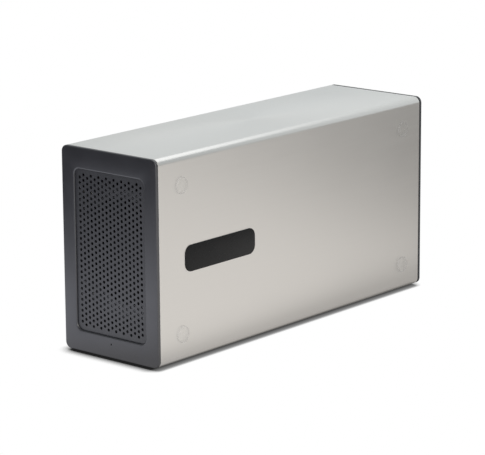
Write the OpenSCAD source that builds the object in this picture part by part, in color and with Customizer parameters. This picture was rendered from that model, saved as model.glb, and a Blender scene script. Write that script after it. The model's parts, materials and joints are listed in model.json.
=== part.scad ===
// Expansion chassis for two full-height cards: an outer sleeve with a perforated bezel,
// and an inner tray that slides out to the rear with the fan, boards, slots and rear panel.
// X runs across the case, Y from the bezel to the rear panel, Z up.

/* [Case] */
// Width across the two side walls
body_w = 89; // [87:1:110]
// Height without the feet
body_h = 147; // [146:1:170]
// Length from the face of the bezel to the face of the rear panel
body_l = 301; // [290:1:360]
// Outer radius of the four long edges
corner_r = 4.75; // [4:0.25:7]
// Wall of the outer sleeve
sleeve_t = 1.5; // [1.2:0.1:2]
// Sheet metal of the tray and its brackets
sheet_t = 1.2; // [1:0.1:1.5]

/* [Bezel] */
// How far the bezel stands in front of its shadow groove
bezel_proud = 2; // [1.5:0.1:4]
// Width of the shadow groove between the bezel and the sleeve
bezel_groove = 0.5; // [0.3:0.1:1]
// Depth of the bezel with the plug that enters the sleeve
bezel_depth = 8; // [7:0.5:12]
// Wall of the bezel's plug
bezel_wall = 2; // [1.5:0.1:2.5]
// Rim of the bezel beside the grille window
rim_side = 11.7; // [10:0.1:16]
// Rim of the bezel above and below the grille window
rim_end = 15.35; // [14:0.05:20]
// Corner radius of the grille window
window_r = 5; // [3:0.5:8]
// Depth of the window in front of the grille
recess_d = 1.5; // [1:0.1:2.5]
// Radius of the bezel's front edge and of the window's rim
edge_r = 0.8; // [0.4:0.1:1]
// Diameter of the status light's pinhole
led_d = 1.5; // [1:0.1:2]
// Height of the pinhole above the bottom of the case
led_h = 10; // [9:0.1:10.5]

/* [Grille] */
// Thickness of the perforated plate
grille_t = 0.8; // [0.6:0.1:1.5]
// Plate hidden behind the bezel, all round the window
grille_lap = 3.4; // [3:0.1:3.6]
// Diameter of each perforation
hole_d = 2.2; // [1.5:0.1:2.4]
// Distance between perforations in one column
hole_pitch = 4; // [3.6:0.1:4.1]
// Distance between columns of perforations
column_pitch = 3.58; // [3.2:0.02:3.7]
// Least plain margin between the perforations and the window's rim
hole_margin = 2.2; // [1.5:0.1:4]

/* [Feet and badge] */
// Diameter of each stick-on foot or bumper
pad_d = 12; // [8:0.5:14]
// Height of each stick-on foot or bumper
pad_h = 1.8; // [1:0.1:3]
// Feet and bumpers: distance behind the face of the bezel
pad_front = 25; // [15:1:40]
// Feet and bumpers: distance in front of the rear panel's face
pad_rear = 24; // [15:1:40]
// Lower bumpers: distance above the bottom of the case
bumper_low = 20; // [14:1:30]
// Upper bumpers: distance below the top of the case
bumper_top = 21.2; // [14:0.2:30]
// Feet: distance in from the side walls
foot_side = 14.5; // [12:0.5:24]
// Length of the side badge
badge_l = 74.4; // [40:0.2:90]
// Height of the side badge
badge_h = 19; // [12:0.5:30]
// Corner radius of the side badge
badge_r = 5.5; // [1:0.5:6]
// Thickness of the side badge
badge_t = 0.6; // [0.3:0.1:1]
// Badge: distance behind the face of the bezel
badge_front = 28.5; // [15:0.5:60]
// Badge: distance above the bottom of the case
badge_low = 63.1; // [50:0.1:80]

/* [Card slots] */
// Distance between the two card slots
slot_pitch = 20.32; // [20:0.02:20.6]
// Distance from the left wall to the first card bracket's centre
slot_side = 13.5; // [13:0.1:14]
// Width of a card bracket
bracket_w = 18.42; // [17.8:0.02:18.8]
// Height of the case above the ledge that the card brackets are screwed to
head_room = 24.24; // [23:0.01:30]
// Thickness of a card bracket
bracket_t = 0.86; // [0.6:0.02:1]
// Distance from a card bracket's centre to the card in it
card_offset = 6.35; // [6:0.05:6.7]
// Length of a card connector
connector_l = 89; // [80:1:95]
// Width of a card connector
connector_w = 7.5; // [7:0.1:8]
// Height of a card connector
connector_h = 11.25; // [10:0.25:12]
// Distance from the card bracket to the connector
connector_back = 48; // [44:1:55]
// Depth of the pocket that the card brackets sit in
pocket_d = 12.5; // [11:0.5:16]

/* [Rear panel] */
// Thickness of the rear panel
panel_t = 2; // [1.5:0.1:3]
// Distance of the thumbscrews from the side walls
thumb_side = 14.5; // [12.5:0.5:17.5]
// Distance of the thumbscrews below the top of the case
thumb_drop = 11; // [10:0.5:12]
// Diameter of the thumbscrew's knob
knob_d = 10; // [8:0.5:12]
// Length of the thumbscrew's knob
knob_l = 7; // [5:0.5:10]
// Diameter of the thumbscrew's shank
thumb_d = 3.9; // [3:0.1:4.5]

/* [Fan] */
// Room between the fan's square frame and the sleeve's side walls
fan_side = 3; // [2.6:0.1:8]
// Depth of the fan's frame
fan_depth = 25; // [20:1:30]
// Distance of the fan's mounting holes from the sides of its frame
fan_hole_side = 4.25; // [4:0.05:5]
// Number of fan blades
blade_count = 7; // [5:1:11]
// Turn of each blade over its depth, in degrees
blade_twist = 42; // [20:1:50]

/* [Boards] */
// Thickness of the circuit boards
pcb_t = 1.6; // [1.2:0.2:2]
// Height of the board's standoffs
standoff_h = 6; // [5:0.5:8]
// Share of the way from the fan to the card brackets that is left free in front of the board
board_front_share = 0.23; // [0.15:0.01:0.27]
// Length of the upright host board
host_l = 110; // [100:1:130]
// Room above the upright host board
host_top = 30.6; // [24:0.1:34]

/* [Hidden] */
$fn = 48;

// Facets of a circle inside a hull, and the steps of a rounded edge
hull_fn = 32;
edge_steps = 3;
// Radius of a screw head's dome, as a share of the head's own radius
dome_share = 1.6;
// Overrun of every cut
over = 1;

// Clearances
run_gap = 0.3;      // between the tray and the sleeve, all round
slip = 0.15;        // round a piece that plugs into another
bore_gap = 0.05;    // round a shaft that turns in its bore
panel_gap = 0.4;    // between the sleeve's end and the rear panel
front_gap = 1;      // between the front frame and the tray
washer_gap = 0.1;   // on each face of a thumbscrew's washer
min_r = 0.4;        // least radius left on an inner corner

// Bezel and front frame
bezel_face_t = recess_d + grille_t;
window_w = body_w - 2 * rim_side;
window_h = body_h - 2 * rim_end;
grille_columns = floor((window_w - 2 * hole_margin - hole_d) / column_pitch / 2) * 2 + 1;
grille_rows = floor((window_h - 2 * hole_margin - hole_d) / hole_pitch);
boss_r = 3;
boss_sink = 0.5;
boss_side = 13.5;
pilot_r = 1.25;
boss_x = body_w / 2 - boss_side;
stake_r = 0.9;
stake_head_r = 1.5;
stake_head_t = 0.6;
stake_side_shares = [-0.8, 0, 0.8];
stake_end_shares = [-0.5, 0.5];
frame_margin = 2;
frame_flange_l = 8;
bezel_screw_r = 1.5;
bezel_screw_l = 5;
screw_head_r = 2.8;
screw_head_t = 2;
pipe_head_r = 1.6;
pipe_head_t = 1;
pipe_tip_gap = 0.3;
plug_inset = sleeve_t + slip;
boss_z = plug_inset + bezel_wall + boss_r - boss_sink;
grille_w = window_w + 2 * grille_lap;
grille_h = window_h + 2 * grille_lap;
grille_r = 3;
frame_y = bezel_depth;
frame_end = frame_y + frame_flange_l;

// Feet and bumpers
pad_ease = pad_h / 3;

// Stations along the case, measured back from the face of the bezel
sleeve_y0 = bezel_proud + bezel_groove;
panel_y = body_l - panel_t;
sleeve_y1 = panel_y - panel_gap;
pan_y = frame_end + front_gap;
fan_size = body_w - 2 * (sleeve_t + fan_side);
fan_y = pan_y + sheet_t;
fan_end = fan_y + fan_depth;
pocket_y = panel_y - pocket_d;
bracket_y = pocket_y - sheet_t;

// Tray
tray_inset = sleeve_t + run_gap;
floor_z = tray_inset + sheet_t;
pan_side_h = 16;
pan_wall_over = 4.5;
pan_wall_side = 2;
pan_rear_h = 10;
fan_z = body_h / 2;
pan_wall_h = fan_z + fan_size / 2 + pan_wall_over;
floor_vent_w = 3;
floor_vent_l = 34;
floor_vents = 5;
floor_vent_r = 1.3;
floor_vent_first = 6;
floor_vent_pitch = 9;
wall_slots = 5;
wall_slot_l = 7.8;
wall_slot_pitch = 12;
wall_slot_drop = 9;
rivet_r = 1.6;
rivet_head_r = 2.4;
rivet_head_t = 0.8;
rivet_side = 14.5;
rivet_x = body_w / 2 - rivet_side;
rivet_z = 6.5;

// Card slots
slot_x = [for (i = [0, 1]) slot_side - body_w / 2 + i * slot_pitch];
card_x = [for (x = slot_x) x + card_offset];
tongue_gap = 0.6;
tongue_w = 10.2;
tongue_h = 12;
ledge_z = body_h - head_room;
bracket_h = ledge_z + bracket_t - floor_z - tongue_gap;
tab_l = 11.4;
tab_notch_r = 2.2;
tab_screw_x = 5;
cover_screw_r = 1.45;
cover_screw_l = 5;
cover_head_r = 3;
cover_head_t = 2.2;
pocket_side = 9.2;
pocket_foot = 2.4;
pocket_low = 12;
pocket_x0 = slot_x[0] - pocket_side;
pocket_x1 = slot_x[1] + pocket_side;
pocket_top = ledge_z - sheet_t;
slot_window_w = 14.3;
slot_window_low = 4;
slot_window_top = 8;
slot_window_r = 1;
slot_window_z0 = pocket_low + slot_window_low;
slot_window_z1 = pocket_top - slot_window_top;
frame_lip_h = 5.5;
emboss_w = 11;
emboss_end = 12;
emboss_h = 0.7;
emboss_r = 2;

// Main board
board_z = floor_z + standoff_h;
board_top = board_z + pcb_t;
board_side = 1;
board_gap = 1;
board_w = body_w - 2 * (tray_inset + sheet_t + board_side);
board_y1 = bracket_y - bracket_t - board_gap;
board_y0 = fan_end + board_front_share * (board_y1 - fan_end);
board_l = board_y1 - board_y0;
board_hole_r = 1.6;
board_hole_side = 4;
standoff_r = 2.9;
board_screw_r = 1.5;
board_screw_l = 5;
connector_y1 = bracket_y - connector_back;
connector_y0 = connector_y1 - connector_l;
groove_w = 1.9;
groove_d = 8.2;
groove_end = 2;
key_back = 11.7;
key_l = 1.7;
rib_pitch = 4;
rib_w = 2;
rib_d = 0.35;
rib_low = 2;
rib_top = 2.5;

// Latch at the front end of each card connector
latch_w = 4.6;
ear_t = 1.2;
ear_gap = 0.2;
ear_x = (latch_w + ear_t) / 2 + ear_gap;
ear_l = 7;
ear_h = 8;
pivot_r = 1.2;
pivot_back = 4;
pivot_z = 4;
latch_foot_r = 2.4;
latch_h = 17;
latch_t = 1.8;
latch_hook_l = 3.4;
latch_hook_t = 1.6;
latch_thumb_l = 2.6;

// Upright host board with its ports
host_gap = 9.5;
host_edge = 1;
socket_w = 7;
socket_h = 8.5;
socket_l = 64;
socket_wall = 1.6;
tab_depth = 6.5;
tab_end = 30;
host_x = slot_x[1] + bracket_w / 2 + host_gap;
host_face = host_x + pcb_t;
host_y1 = panel_y - host_edge;
host_y0 = host_y1 - host_l;
host_z = board_top + socket_h + run_gap;
host_h = body_h - host_top - host_z;
host_bracket_l = 14;
host_bracket_w = 7;
host_bracket_low = 14;
host_bracket_top = 11;
host_bracket_h = host_h - host_bracket_low - host_bracket_top;
host_screw_back = 9;
host_screw_r = 1.25;
host_screw_l = 2.6;
host_screw_low = 28.5;
host_screw_drop = 17;
host_screw_high = host_bracket_low + host_bracket_h - host_screw_drop;
host_rivet_out = 3.8;
host_rivet_in = 4.8;
port_inset = 0.4;
port_cut = 0.25;
jack_up = 7;
usb_a_up = 21;
usb_b_up = 36;
dp_up = 55;
jack_z = host_z + jack_up;
usb_a_z = host_z + usb_a_up;
usb_b_z = host_z + usb_b_up;
dp_z = host_z + dp_up;
usb_w = 9;
usb_t = 3.2;
usb_wall = 0.3;
usb_r = 1.5;
usb_l = 8.5;
usb_tongue_w = 6.7;
usb_tongue_t = 0.7;
usb_tongue_back = 1.2;
dp_w = 16.1;
dp_t = 4.8;
dp_wall = 0.35;
dp_l = 12;
dp_tongue_w = 13;
dp_tongue_t = 1;
dp_corner = 1.6;
jack_w = 9.5;
jack_h = 11;
jack_l = 14;
jack_bore_r = 3.1;
jack_bore_l = 10;
jack_pin_r = 1.25;
jack_pin_l = 8.5;
jack_collar_r = 4.35;
usb_x = host_face + usb_t / 2;
dp_x = host_face + dp_t / 2;
jack_x = host_face + jack_h / 2;
chip_side = 21;
chip_t = 1.8;
chip_back = 48;
chip_up = 50;
chip_y = host_y0 + chip_back;
chip_z = host_z + chip_up;
sink_w = 46;
sink_base = 2;
sink_h = 15;
fin_count = 12;
fin_t = 1.1;

// Small parts on the boards
bridge_side = 15;
bridge_t = 1.6;
bridge_front = 60;
coil_side = 10;
coil_h = 5;
coil_r = 1.5;
coil_pitch = 13;
coil_count = 3;
can_r = 4;
can_h = 9;
can_pitch = 10;
can_count = 4;
can_groove = 0.4;
can_groove_w = 0.7;
can_foot_h = 2;
can_body_z = can_foot_h + can_groove_w;
chip_w = 5;
chip_l = 6;
chip_h = 1.2;
chip_count = 3;
chips_front = 80;
chips_pitch = 13;
fan_header_w = 10.2;
led_header_w = 7.6;
header_d = 5.8;
header_h = 8;
header_wall = 1;
parts_front = 22;
coil_side_in = 8.9;
can_side_in = 20.6;
header_side_in = 12.9;
bridge_side_in = 8;
chip_side_in = 8;
board_x1 = board_w / 2;
parts_y = board_y0 + parts_front;
header_x = board_x1 - header_side_in;
header_y = board_y0 + header_d;
header_top = board_top + header_h;

// Thumbscrews, their brackets and nuts
thumb_x = body_w / 2 - thumb_side;
thumb_z = body_h - thumb_drop;
thumb_r = thumb_d / 2;
washer_t = 0.8;
washer_r = 4.4;
thumb_turns = 7;
thread_pitch = 0.7;
knob_flutes = 24;
knob_flute_r = 0.45;
knob_recess_w = 1.2;
knob_recess_d = 1.4;
bracket_stand = 3;
bracket_leg_w = 13;
bracket_leg_l = 12;
bracket_leg_drop = 6.3;
nut_r = 3.4;
nut_t = 2.8;
knob_reach = 2 * washer_gap + washer_t + knob_l;
leg_y1 = panel_y - bracket_stand;
leg_y0 = leg_y1 - sheet_t;
leg_top = body_h - sleeve_t - sheet_t;
// The shank's tip clears the bracket once the screw has made all its turns
thumb_tip = leg_y1 - thumb_turns * thread_pitch;
lock_w = 7;
lock_h = 3;
lock_r = 0.8;

// Rear vent, beside the ports
vent_gap = 13;
vent_side = 5;
vent_low = 17;
vent_top = 22;
vent_columns = floor((body_w / 2 - vent_side - host_face - vent_gap) / column_pitch) + 1;
vent_rows = floor((body_h - vent_low - vent_top) / hole_pitch / 2) * 2 + 1;
vent_x = host_face + vent_gap + (vent_columns - 1) * column_pitch / 2;
vent_z = (vent_low + body_h - vent_top) / 2;

// Fan
duct_margin = 1.8;
duct_r = fan_size / 2 - duct_margin;
fan_pitch = fan_size - 2 * fan_hole_side;
fan_flange_t = 4;
fan_corner_r = 4;
fan_hole_r = 2.2;
fan_screw_r = 2.15;
fan_screw_l = 8;
fan_head_r = 3.5;
fan_head_t = 1.6;
duct_wall = 1.8;
motor_r = 17;
motor_t = 2.4;
strut_w = 3;
strut_count = 4;
tube_r = 4.2;
tube_l = 14;
bearing_r = 3;
shaft_r = 1.5;
hub_r = 17;
hub_wall = 1.5;
hub_d = 17;
hub_front = 1.5;
hub_ease = 1.5;
blade_gap = 1.1;
blade_w = 2.6;
blade_d = 15;
blade_steps = 8;
stator_r = 12;
stator_d = 8;
stator_pole_w = 7;

// Leads, laid along the tray's floor and clipped to it
lead_r = 1.4;
lead_sides = 8;
lead_lift = 0.1;
lead_bend = 6;
lead_run = 12;
lead_steps = 5;
// A run steeper than this share of upright takes its sides from the X axis
steep_share = 0.9;

// Status light
led_board_w = 12;
led_board_h = 8;
led_board_t = 1;
led_r = 1.5;
led_tip = pan_y - led_board_t - led_r;
led_lead_x = led_board_w / 2 - lead_r;
lead_z = floor_z + lead_r + lead_lift;

// Frame of the part: the middle of its box, standing on its feet
case_x = -pad_h / 2;
case_y = -(body_l + knob_reach) / 2;

module in_case() translate([case_x, case_y, pad_h]) children();

// Extrudes a front view from one station to the next
module slab(y0, y1) translate([0, y1, 0]) rotate([90, 0, 0]) linear_extrude(y1 - y0) children();

// Extrudes a side view, drawn in Y and Z, across the given width
module across(w) rotate([90, 0, 90]) linear_extrude(w, center = true) children();

module rounded_rect(w, h, r) {
    square([w - 2 * r, h], center = true);
    square([w, h - 2 * r], center = true);
    for (x = [-1, 1], z = [-1, 1])
        translate([x * (w / 2 - r), z * (h / 2 - r)]) circle(r);
}

module case_outline(inset)
    translate([0, body_h / 2])
        rounded_rect(body_w - 2 * inset, body_h - 2 * inset, max(corner_r - inset, min_r));

module window_outline(grow)
    translate([0, body_h / 2])
        rounded_rect(window_w + 2 * grow, window_h + 2 * grow, window_r + grow);

// Field of round perforations, every second column shifted by half a pitch
module hole_field(columns, rows) {
    for (i = [0 : columns - 1]) {
        n = rows + i % 2;
        for (j = [0 : n - 1])
            translate([(i - (columns - 1) / 2) * column_pitch, (j - (n - 1) / 2) * hole_pitch])
                circle(hole_d / 2);
    }
}

// Domed screw head over a plain shank, pointing down from the head's seat
module screw(shank_r, shank_l, head_r, head_t) {
    translate([0, 0, -shank_l]) cylinder(r = shank_r, h = shank_l);
    intersection() {
        cylinder(r = head_r, h = head_t);
        translate([0, 0, head_t - head_r * dome_share]) sphere(r = head_r * dome_share);
    }
}

module along_y(y) translate([0, y, 0]) rotate([-90, 0, 0]) children();

// Outer shell

module outer_sleeve()
    color("gainsboro") in_case()
        slab(sleeve_y0, sleeve_y1)
            difference() {
                case_outline(0);
                case_outline(sleeve_t);
            }

// Front flange of the bezel with its eased front edge
module bezel_flange()
    hull()
        for (k = [0 : edge_steps]) {
            a = 90 * k / edge_steps;
            slab(edge_r * (1 - cos(a)), bezel_proud, $fn = hull_fn)
                case_outline(edge_r * (1 - sin(a)));
        }

// Rounded rim of the window: rings that widen towards the front
module window_cut() {
    slab(-over, bezel_face_t + over) window_outline(0);
    for (k = [1 : edge_steps])
        hull() {
            a0 = 90 * (k - 1) / edge_steps;
            a1 = 90 * k / edge_steps;
            slab(-over, edge_r * (1 - cos(a0)), $fn = hull_fn) window_outline(edge_r * (1 - sin(a0)));
            slab(-over, edge_r * (1 - cos(a1)), $fn = hull_fn) window_outline(edge_r * (1 - sin(a1)));
        }
}

module at_bosses()
    for (x = [-boss_x, boss_x], z = [boss_z, body_h - boss_z])
        translate([x, 0, z]) children();

// Heat stakes that hold the grille, round its margin
module at_stakes() {
    sx = grille_w / 2 - grille_lap / 2;
    sz = grille_h / 2 - grille_lap / 2;
    for (x = [-1, 1], z = stake_side_shares)
        translate([x * sx, 0, body_h / 2 + z * sz]) children();
    for (x = stake_end_shares, z = [-1, 1])
        translate([x * sx, 0, body_h / 2 + z * sz]) children();
}

module front_bezel()
    color("dimgray") in_case() {
        difference() {
            union() {
                bezel_flange();
                slab(bezel_proud, bezel_depth)
                    difference() {
                        case_outline(plug_inset);
                        case_outline(plug_inset + bezel_wall);
                    }
                slab(bezel_proud, bezel_face_t) case_outline(plug_inset);
                at_bosses() along_y(bezel_proud) cylinder(r = boss_r, h = bezel_depth - bezel_proud);
            }
            window_cut();
            slab(recess_d, bezel_face_t + over)
                translate([0, body_h / 2])
                    rounded_rect(grille_w + 2 * slip, grille_h + 2 * slip, grille_r + slip);
            at_bosses() along_y(bezel_face_t) cylinder(r = pilot_r, h = bezel_depth);
            translate([0, 0, led_h]) along_y(-over) cylinder(r = led_d / 2, h = bezel_depth);
        }
        at_stakes() along_y(recess_d) cylinder(r = stake_r, h = grille_t + stake_head_t);
        at_stakes() along_y(bezel_face_t) cylinder(r = stake_head_r, h = stake_head_t);
    }

module front_grille()
    color("darkslategray") in_case()
        difference() {
            slab(recess_d, bezel_face_t)
                translate([0, body_h / 2])
                    difference() {
                        rounded_rect(grille_w, grille_h, grille_r);
                        hole_field(grille_columns, grille_rows);
                    }
            at_stakes() along_y(recess_d - over) cylinder(r = stake_r, h = grille_t + 2 * over);
        }

// Sheet-metal ring behind the bezel, with a flange turned back along the sleeve
module front_frame()
    color("silver") in_case()
        difference() {
            union() {
                slab(frame_y, frame_y + sheet_t)
                    difference() {
                        case_outline(sleeve_t);
                        window_outline(frame_margin);
                    }
                slab(frame_y, frame_end)
                    difference() {
                        case_outline(sleeve_t);
                        case_outline(sleeve_t + sheet_t);
                    }
            }
            at_bosses() along_y(frame_y - over) cylinder(r = bezel_screw_r + slip, h = sheet_t + 2 * over);
            translate([0, 0, led_h])
                along_y(frame_y - over) cylinder(r = pipe_head_r + slip, h = sheet_t + 2 * over);
        }

module bezel_screws()
    color("silver") in_case()
        at_bosses() translate([0, frame_y + sheet_t, 0]) rotate([-90, 0, 0])
            screw(pilot_r, bezel_screw_l, screw_head_r, screw_head_t);

// Clear rod from the pinhole to the light, with a collar behind the bezel's face
module led_light_pipe()
    color("white") in_case() translate([0, 0, led_h]) {
        along_y(pipe_tip_gap) cylinder(r = led_d / 2 - bore_gap, h = led_tip - front_gap - pipe_tip_gap);
        along_y(bezel_face_t) cylinder(r = pipe_head_r, h = pipe_head_t);
    }

// Black label plate on the right wall, left bare
module badge_plate()
    color("black") in_case()
        translate([body_w / 2 + badge_t / 2, badge_front + badge_l / 2, badge_low + badge_h / 2])
            across(badge_t) rounded_rect(badge_l, badge_h, badge_r);

// Stick-on pad with an eased edge, standing on the face it is stuck to
module pad()
    rotate_extrude() {
        square([pad_d / 2 - pad_ease, pad_h]);
        square([pad_d / 2, pad_h - pad_ease]);
        translate([pad_d / 2 - pad_ease, pad_h - pad_ease]) intersection() {
            circle(pad_ease);
            square(pad_ease);
        }
    }

module bottom_feet()
    color("whitesmoke") in_case()
        for (x = [foot_side - body_w / 2, body_w / 2 - foot_side], y = [pad_front, body_l - pad_rear])
            translate([x, y, 0]) rotate([180, 0, 0]) pad();

module side_bumpers()
    color("whitesmoke") in_case()
        for (y = [pad_front, body_l - pad_rear], z = [bumper_low, body_h - bumper_top])
            translate([body_w / 2, y, z]) rotate([0, 90, 0]) pad();

module at_thumbs() for (x = [-thumb_x, thumb_x]) translate([x, 0, thumb_z]) children();

// Angle brackets welded under the sleeve's top wall, which the thumbscrews pull against
module sleeve_brackets()
    color("silver") in_case()
        difference() {
            for (x = [-thumb_x, thumb_x])
                translate([x, 0, 0]) across(bracket_leg_w) {
                    translate([leg_y0, thumb_z - bracket_leg_drop])
                        square([sheet_t, leg_top - thumb_z + bracket_leg_drop]);
                    translate([leg_y1 - bracket_leg_l, leg_top]) square([bracket_leg_l - sheet_t, sheet_t]);
                    translate([leg_y0, leg_top]) intersection() {
                        circle(sheet_t);
                        square(sheet_t);
                    }
                }
            at_thumbs() along_y(leg_y0 - over) cylinder(r = thumb_r + bore_gap, h = sheet_t + 2 * over);
        }

module clinch_nuts()
    color("gray") in_case()
        at_thumbs() along_y(leg_y0 - nut_t)
            difference() {
                cylinder(r = nut_r, h = nut_t);
                translate([0, 0, -over]) cylinder(r = thumb_r + bore_gap, h = nut_t + 2 * over);
            }

// Inner tray

module tray_wall_outline()
    intersection() {
        case_outline(tray_inset);
        translate([pan_wall_side / 2 - body_w / 2, 0]) square([body_w - pan_wall_side, pan_wall_h]);
    }

module at_fan_holes()
    for (x = [-1, 1], z = [-1, 1])
        translate([x * fan_pitch / 2, 0, fan_z + z * fan_pitch / 2]) children();

// Row of slots through the front wall, under the fan
module wall_slot_row()
    for (i = [0 : wall_slots - 1])
        translate([(i - (wall_slots - 1) / 2) * wall_slot_pitch, fan_z - fan_size / 2 - wall_slot_drop])
            rounded_rect(wall_slot_l, floor_vent_w, floor_vent_r);

module tray_pan()
    color("silver") in_case()
        difference() {
            union() {
                slab(pan_y, panel_y)
                    intersection() {
                        difference() {
                            case_outline(tray_inset);
                            case_outline(tray_inset + sheet_t);
                        }
                        translate([-body_w / 2, 0]) square([body_w, pan_side_h]);
                    }
                slab(pan_y, pan_y + sheet_t) tray_wall_outline();
                slab(panel_y - sheet_t, panel_y)
                    intersection() {
                        case_outline(tray_inset);
                        translate([-body_w / 2, 0]) square([body_w, pan_rear_h]);
                    }
            }
            translate([0, 0, fan_z]) along_y(pan_y - over) cylinder(r = duct_r, h = sheet_t + 2 * over);
            at_fan_holes() along_y(pan_y - over) cylinder(r = fan_hole_r, h = sheet_t + 2 * over);
            slab(pan_y - over, pan_y + sheet_t + over) wall_slot_row();
            for (i = [0 : floor_vents - 1])
                translate([0, fan_end + floor_vent_first + i * floor_vent_pitch, tray_inset - over])
                    linear_extrude(sheet_t + 2 * over) rounded_rect(floor_vent_l, floor_vent_w, floor_vent_r);
            at_low_rivets() along_y(panel_y - sheet_t - over) cylinder(r = rivet_r, h = sheet_t + 2 * over);
            translate([led_lead_x, 0, led_h])
                along_y(pan_y - over) cylinder(r = lead_r + slip, h = sheet_t + 2 * over);
        }

module at_low_rivets() for (x = [-rivet_x, 0, rivet_x]) translate([x, 0, rivet_z]) children();

module at_lip_rivets() for (x = slot_x) translate([x, 0, ledge_z + frame_lip_h / 2]) children();

module at_host_rivets()
    for (z = [host_rivet_in, host_bracket_h - host_rivet_in])
        translate([host_x - host_rivet_out, 0, host_z + host_bracket_low + z]) children();

module at_rivets() {
    at_low_rivets() children();
    at_lip_rivets() children();
}

// Windows through the pocket's back wall, one for each card
module slot_windows()
    for (x = slot_x)
        translate([x, (slot_window_z0 + slot_window_z1) / 2])
            rounded_rect(slot_window_w, slot_window_z1 - slot_window_z0, slot_window_r);

module pocket_outline(grow)
    translate([pocket_x0 - grow, pocket_low - grow])
        square([pocket_x1 - pocket_x0 + 2 * grow, pocket_top - pocket_low + 2 * grow]);

// Folded pocket that the card brackets stand against, with the ledge their tabs are screwed to
module slot_frame()
    color("lightgray") in_case()
        difference() {
            union() {
                slab(bracket_y, panel_y) pocket_outline(sheet_t);
                slab(bracket_y, pocket_y)
                    translate([slot_x[0] - tongue_w / 2 - pocket_foot, floor_z])
                        square([slot_x[1] - slot_x[0] + tongue_w + 2 * pocket_foot, pocket_low]);
                slab(panel_y - sheet_t, panel_y)
                    translate([pocket_x0 - sheet_t, ledge_z - sheet_t])
                        square([pocket_x1 - pocket_x0 + 2 * sheet_t, frame_lip_h + sheet_t]);
            }
            slab(pocket_y, panel_y + over) pocket_outline(0);
            slab(bracket_y - over, pocket_y + over) slot_windows();
            for (x = slot_x)
                translate([x + tab_screw_x, bracket_y + tab_l / 2, pocket_top - over])
                    cylinder(r = cover_screw_r, h = sheet_t + 2 * over);
            at_lip_rivets() along_y(panel_y - sheet_t - over) cylinder(r = rivet_r, h = sheet_t + 2 * over);
        }

// Port outlines in the rear view, long side upright
module usb_outline(grow) rounded_rect(usb_t + 2 * grow, usb_w + 2 * grow, usb_r + grow);

module dp_outline(grow) {
    w = dp_t / 2 + grow;
    h = dp_w / 2 + grow;
    polygon([[-w, -h], [w - dp_corner, -h], [w, dp_corner - h], [w, h], [-w, h]]);
}

module rear_panel()
    color("dimgray") in_case()
        difference() {
            slab(panel_y, body_l) case_outline(0);
            slab(panel_y - over, body_l + over) {
                pocket_outline(0);
                translate([usb_x, usb_a_z]) usb_outline(port_cut);
                translate([usb_x, usb_b_z]) usb_outline(port_cut);
                translate([dp_x, dp_z]) dp_outline(port_cut);
                translate([jack_x, jack_z]) circle(jack_collar_r);
                translate([vent_x, vent_z]) hole_field(vent_columns, vent_rows);
                translate([0, thumb_z]) rounded_rect(lock_w, lock_h, lock_r);
            }
            at_thumbs() along_y(panel_y - over) cylinder(r = thumb_r + bore_gap, h = panel_t + 2 * over);
            at_rivets() along_y(panel_y - over) cylinder(r = rivet_r, h = panel_t + 2 * over);
            at_host_rivets() along_y(panel_y - over) cylinder(r = rivet_r, h = panel_t + 2 * over);
        }

module rivet()
    translate([0, body_l, 0]) rotate([-90, 0, 0])
        screw(rivet_r, panel_t + sheet_t, rivet_head_r, rivet_head_t);

module panel_rivets()
    color("silver") in_case() {
        at_rivets() rivet();
        at_host_rivets() rivet();
    }

// Fan

module fan_flange_outline() rounded_rect(fan_size, fan_size, fan_corner_r);

module fan_frame()
    color([0.12, 0.12, 0.13]) in_case() translate([0, 0, fan_z]) {
        difference() {
            union() {
                for (y = [fan_y, fan_end - fan_flange_t])
                    slab(y, y + fan_flange_t) fan_flange_outline();
                slab(fan_y, fan_end)
                    intersection() {
                        circle(duct_r + duct_wall);
                        fan_flange_outline();
                    }
            }
            along_y(fan_y - over) cylinder(r = duct_r, h = fan_depth + 2 * over);
            for (x = [-1, 1], z = [-1, 1])
                translate([x * fan_pitch / 2, 0, z * fan_pitch / 2])
                    along_y(fan_y - over) cylinder(r = fan_hole_r, h = fan_depth + 2 * over);
        }
        difference() {
            union() {
                along_y(fan_end - motor_t) cylinder(r = motor_r, h = motor_t);
                along_y(fan_end - tube_l) cylinder(r = tube_r, h = tube_l);
                for (i = [0 : strut_count - 1])
                    rotate([0, 360 * (i + 0.5) / strut_count, 0])
                        translate([tube_r, fan_end - motor_t, -strut_w / 2])
                            cube([duct_r + duct_wall / 2 - tube_r, motor_t, strut_w]);
            }
            along_y(fan_end - tube_l - over) cylinder(r = bearing_r, h = tube_l + over - hub_wall);
        }
    }

// Bush pressed into the motor's tube
module fan_bearing()
    color("darkgoldenrod") in_case() translate([0, 0, fan_z])
        along_y(fan_end - tube_l)
            difference() {
                cylinder(r = bearing_r, h = tube_l - hub_wall);
                translate([0, 0, -over]) cylinder(r = shaft_r + bore_gap, h = tube_l + 2 * over);
            }

// Wound core round the motor's tube
module fan_stator()
    color("peru") in_case() translate([0, 0, fan_z])
        slab(fan_end - motor_t - stator_d, fan_end - motor_t)
            difference() {
                union() {
                    circle(stator_r / 2);
                    for (a = [0, 90]) rotate(a) intersection() {
                        circle(stator_r);
                        square([2 * stator_r, stator_pole_w], center = true);
                    }
                }
                circle(tube_r);
            }

// Swept blades between the hub and the duct
module blades()
    linear_extrude(height = blade_d, twist = blade_twist, slices = blade_steps, segments = blade_steps)
        for (i = [0 : blade_count - 1])
            rotate(360 * i / blade_count) intersection() {
                translate([hub_r - hub_wall, -blade_w / 2])
                    square([duct_r - blade_gap - hub_r + hub_wall, blade_w]);
                circle(duct_r - blade_gap);
            }

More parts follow.
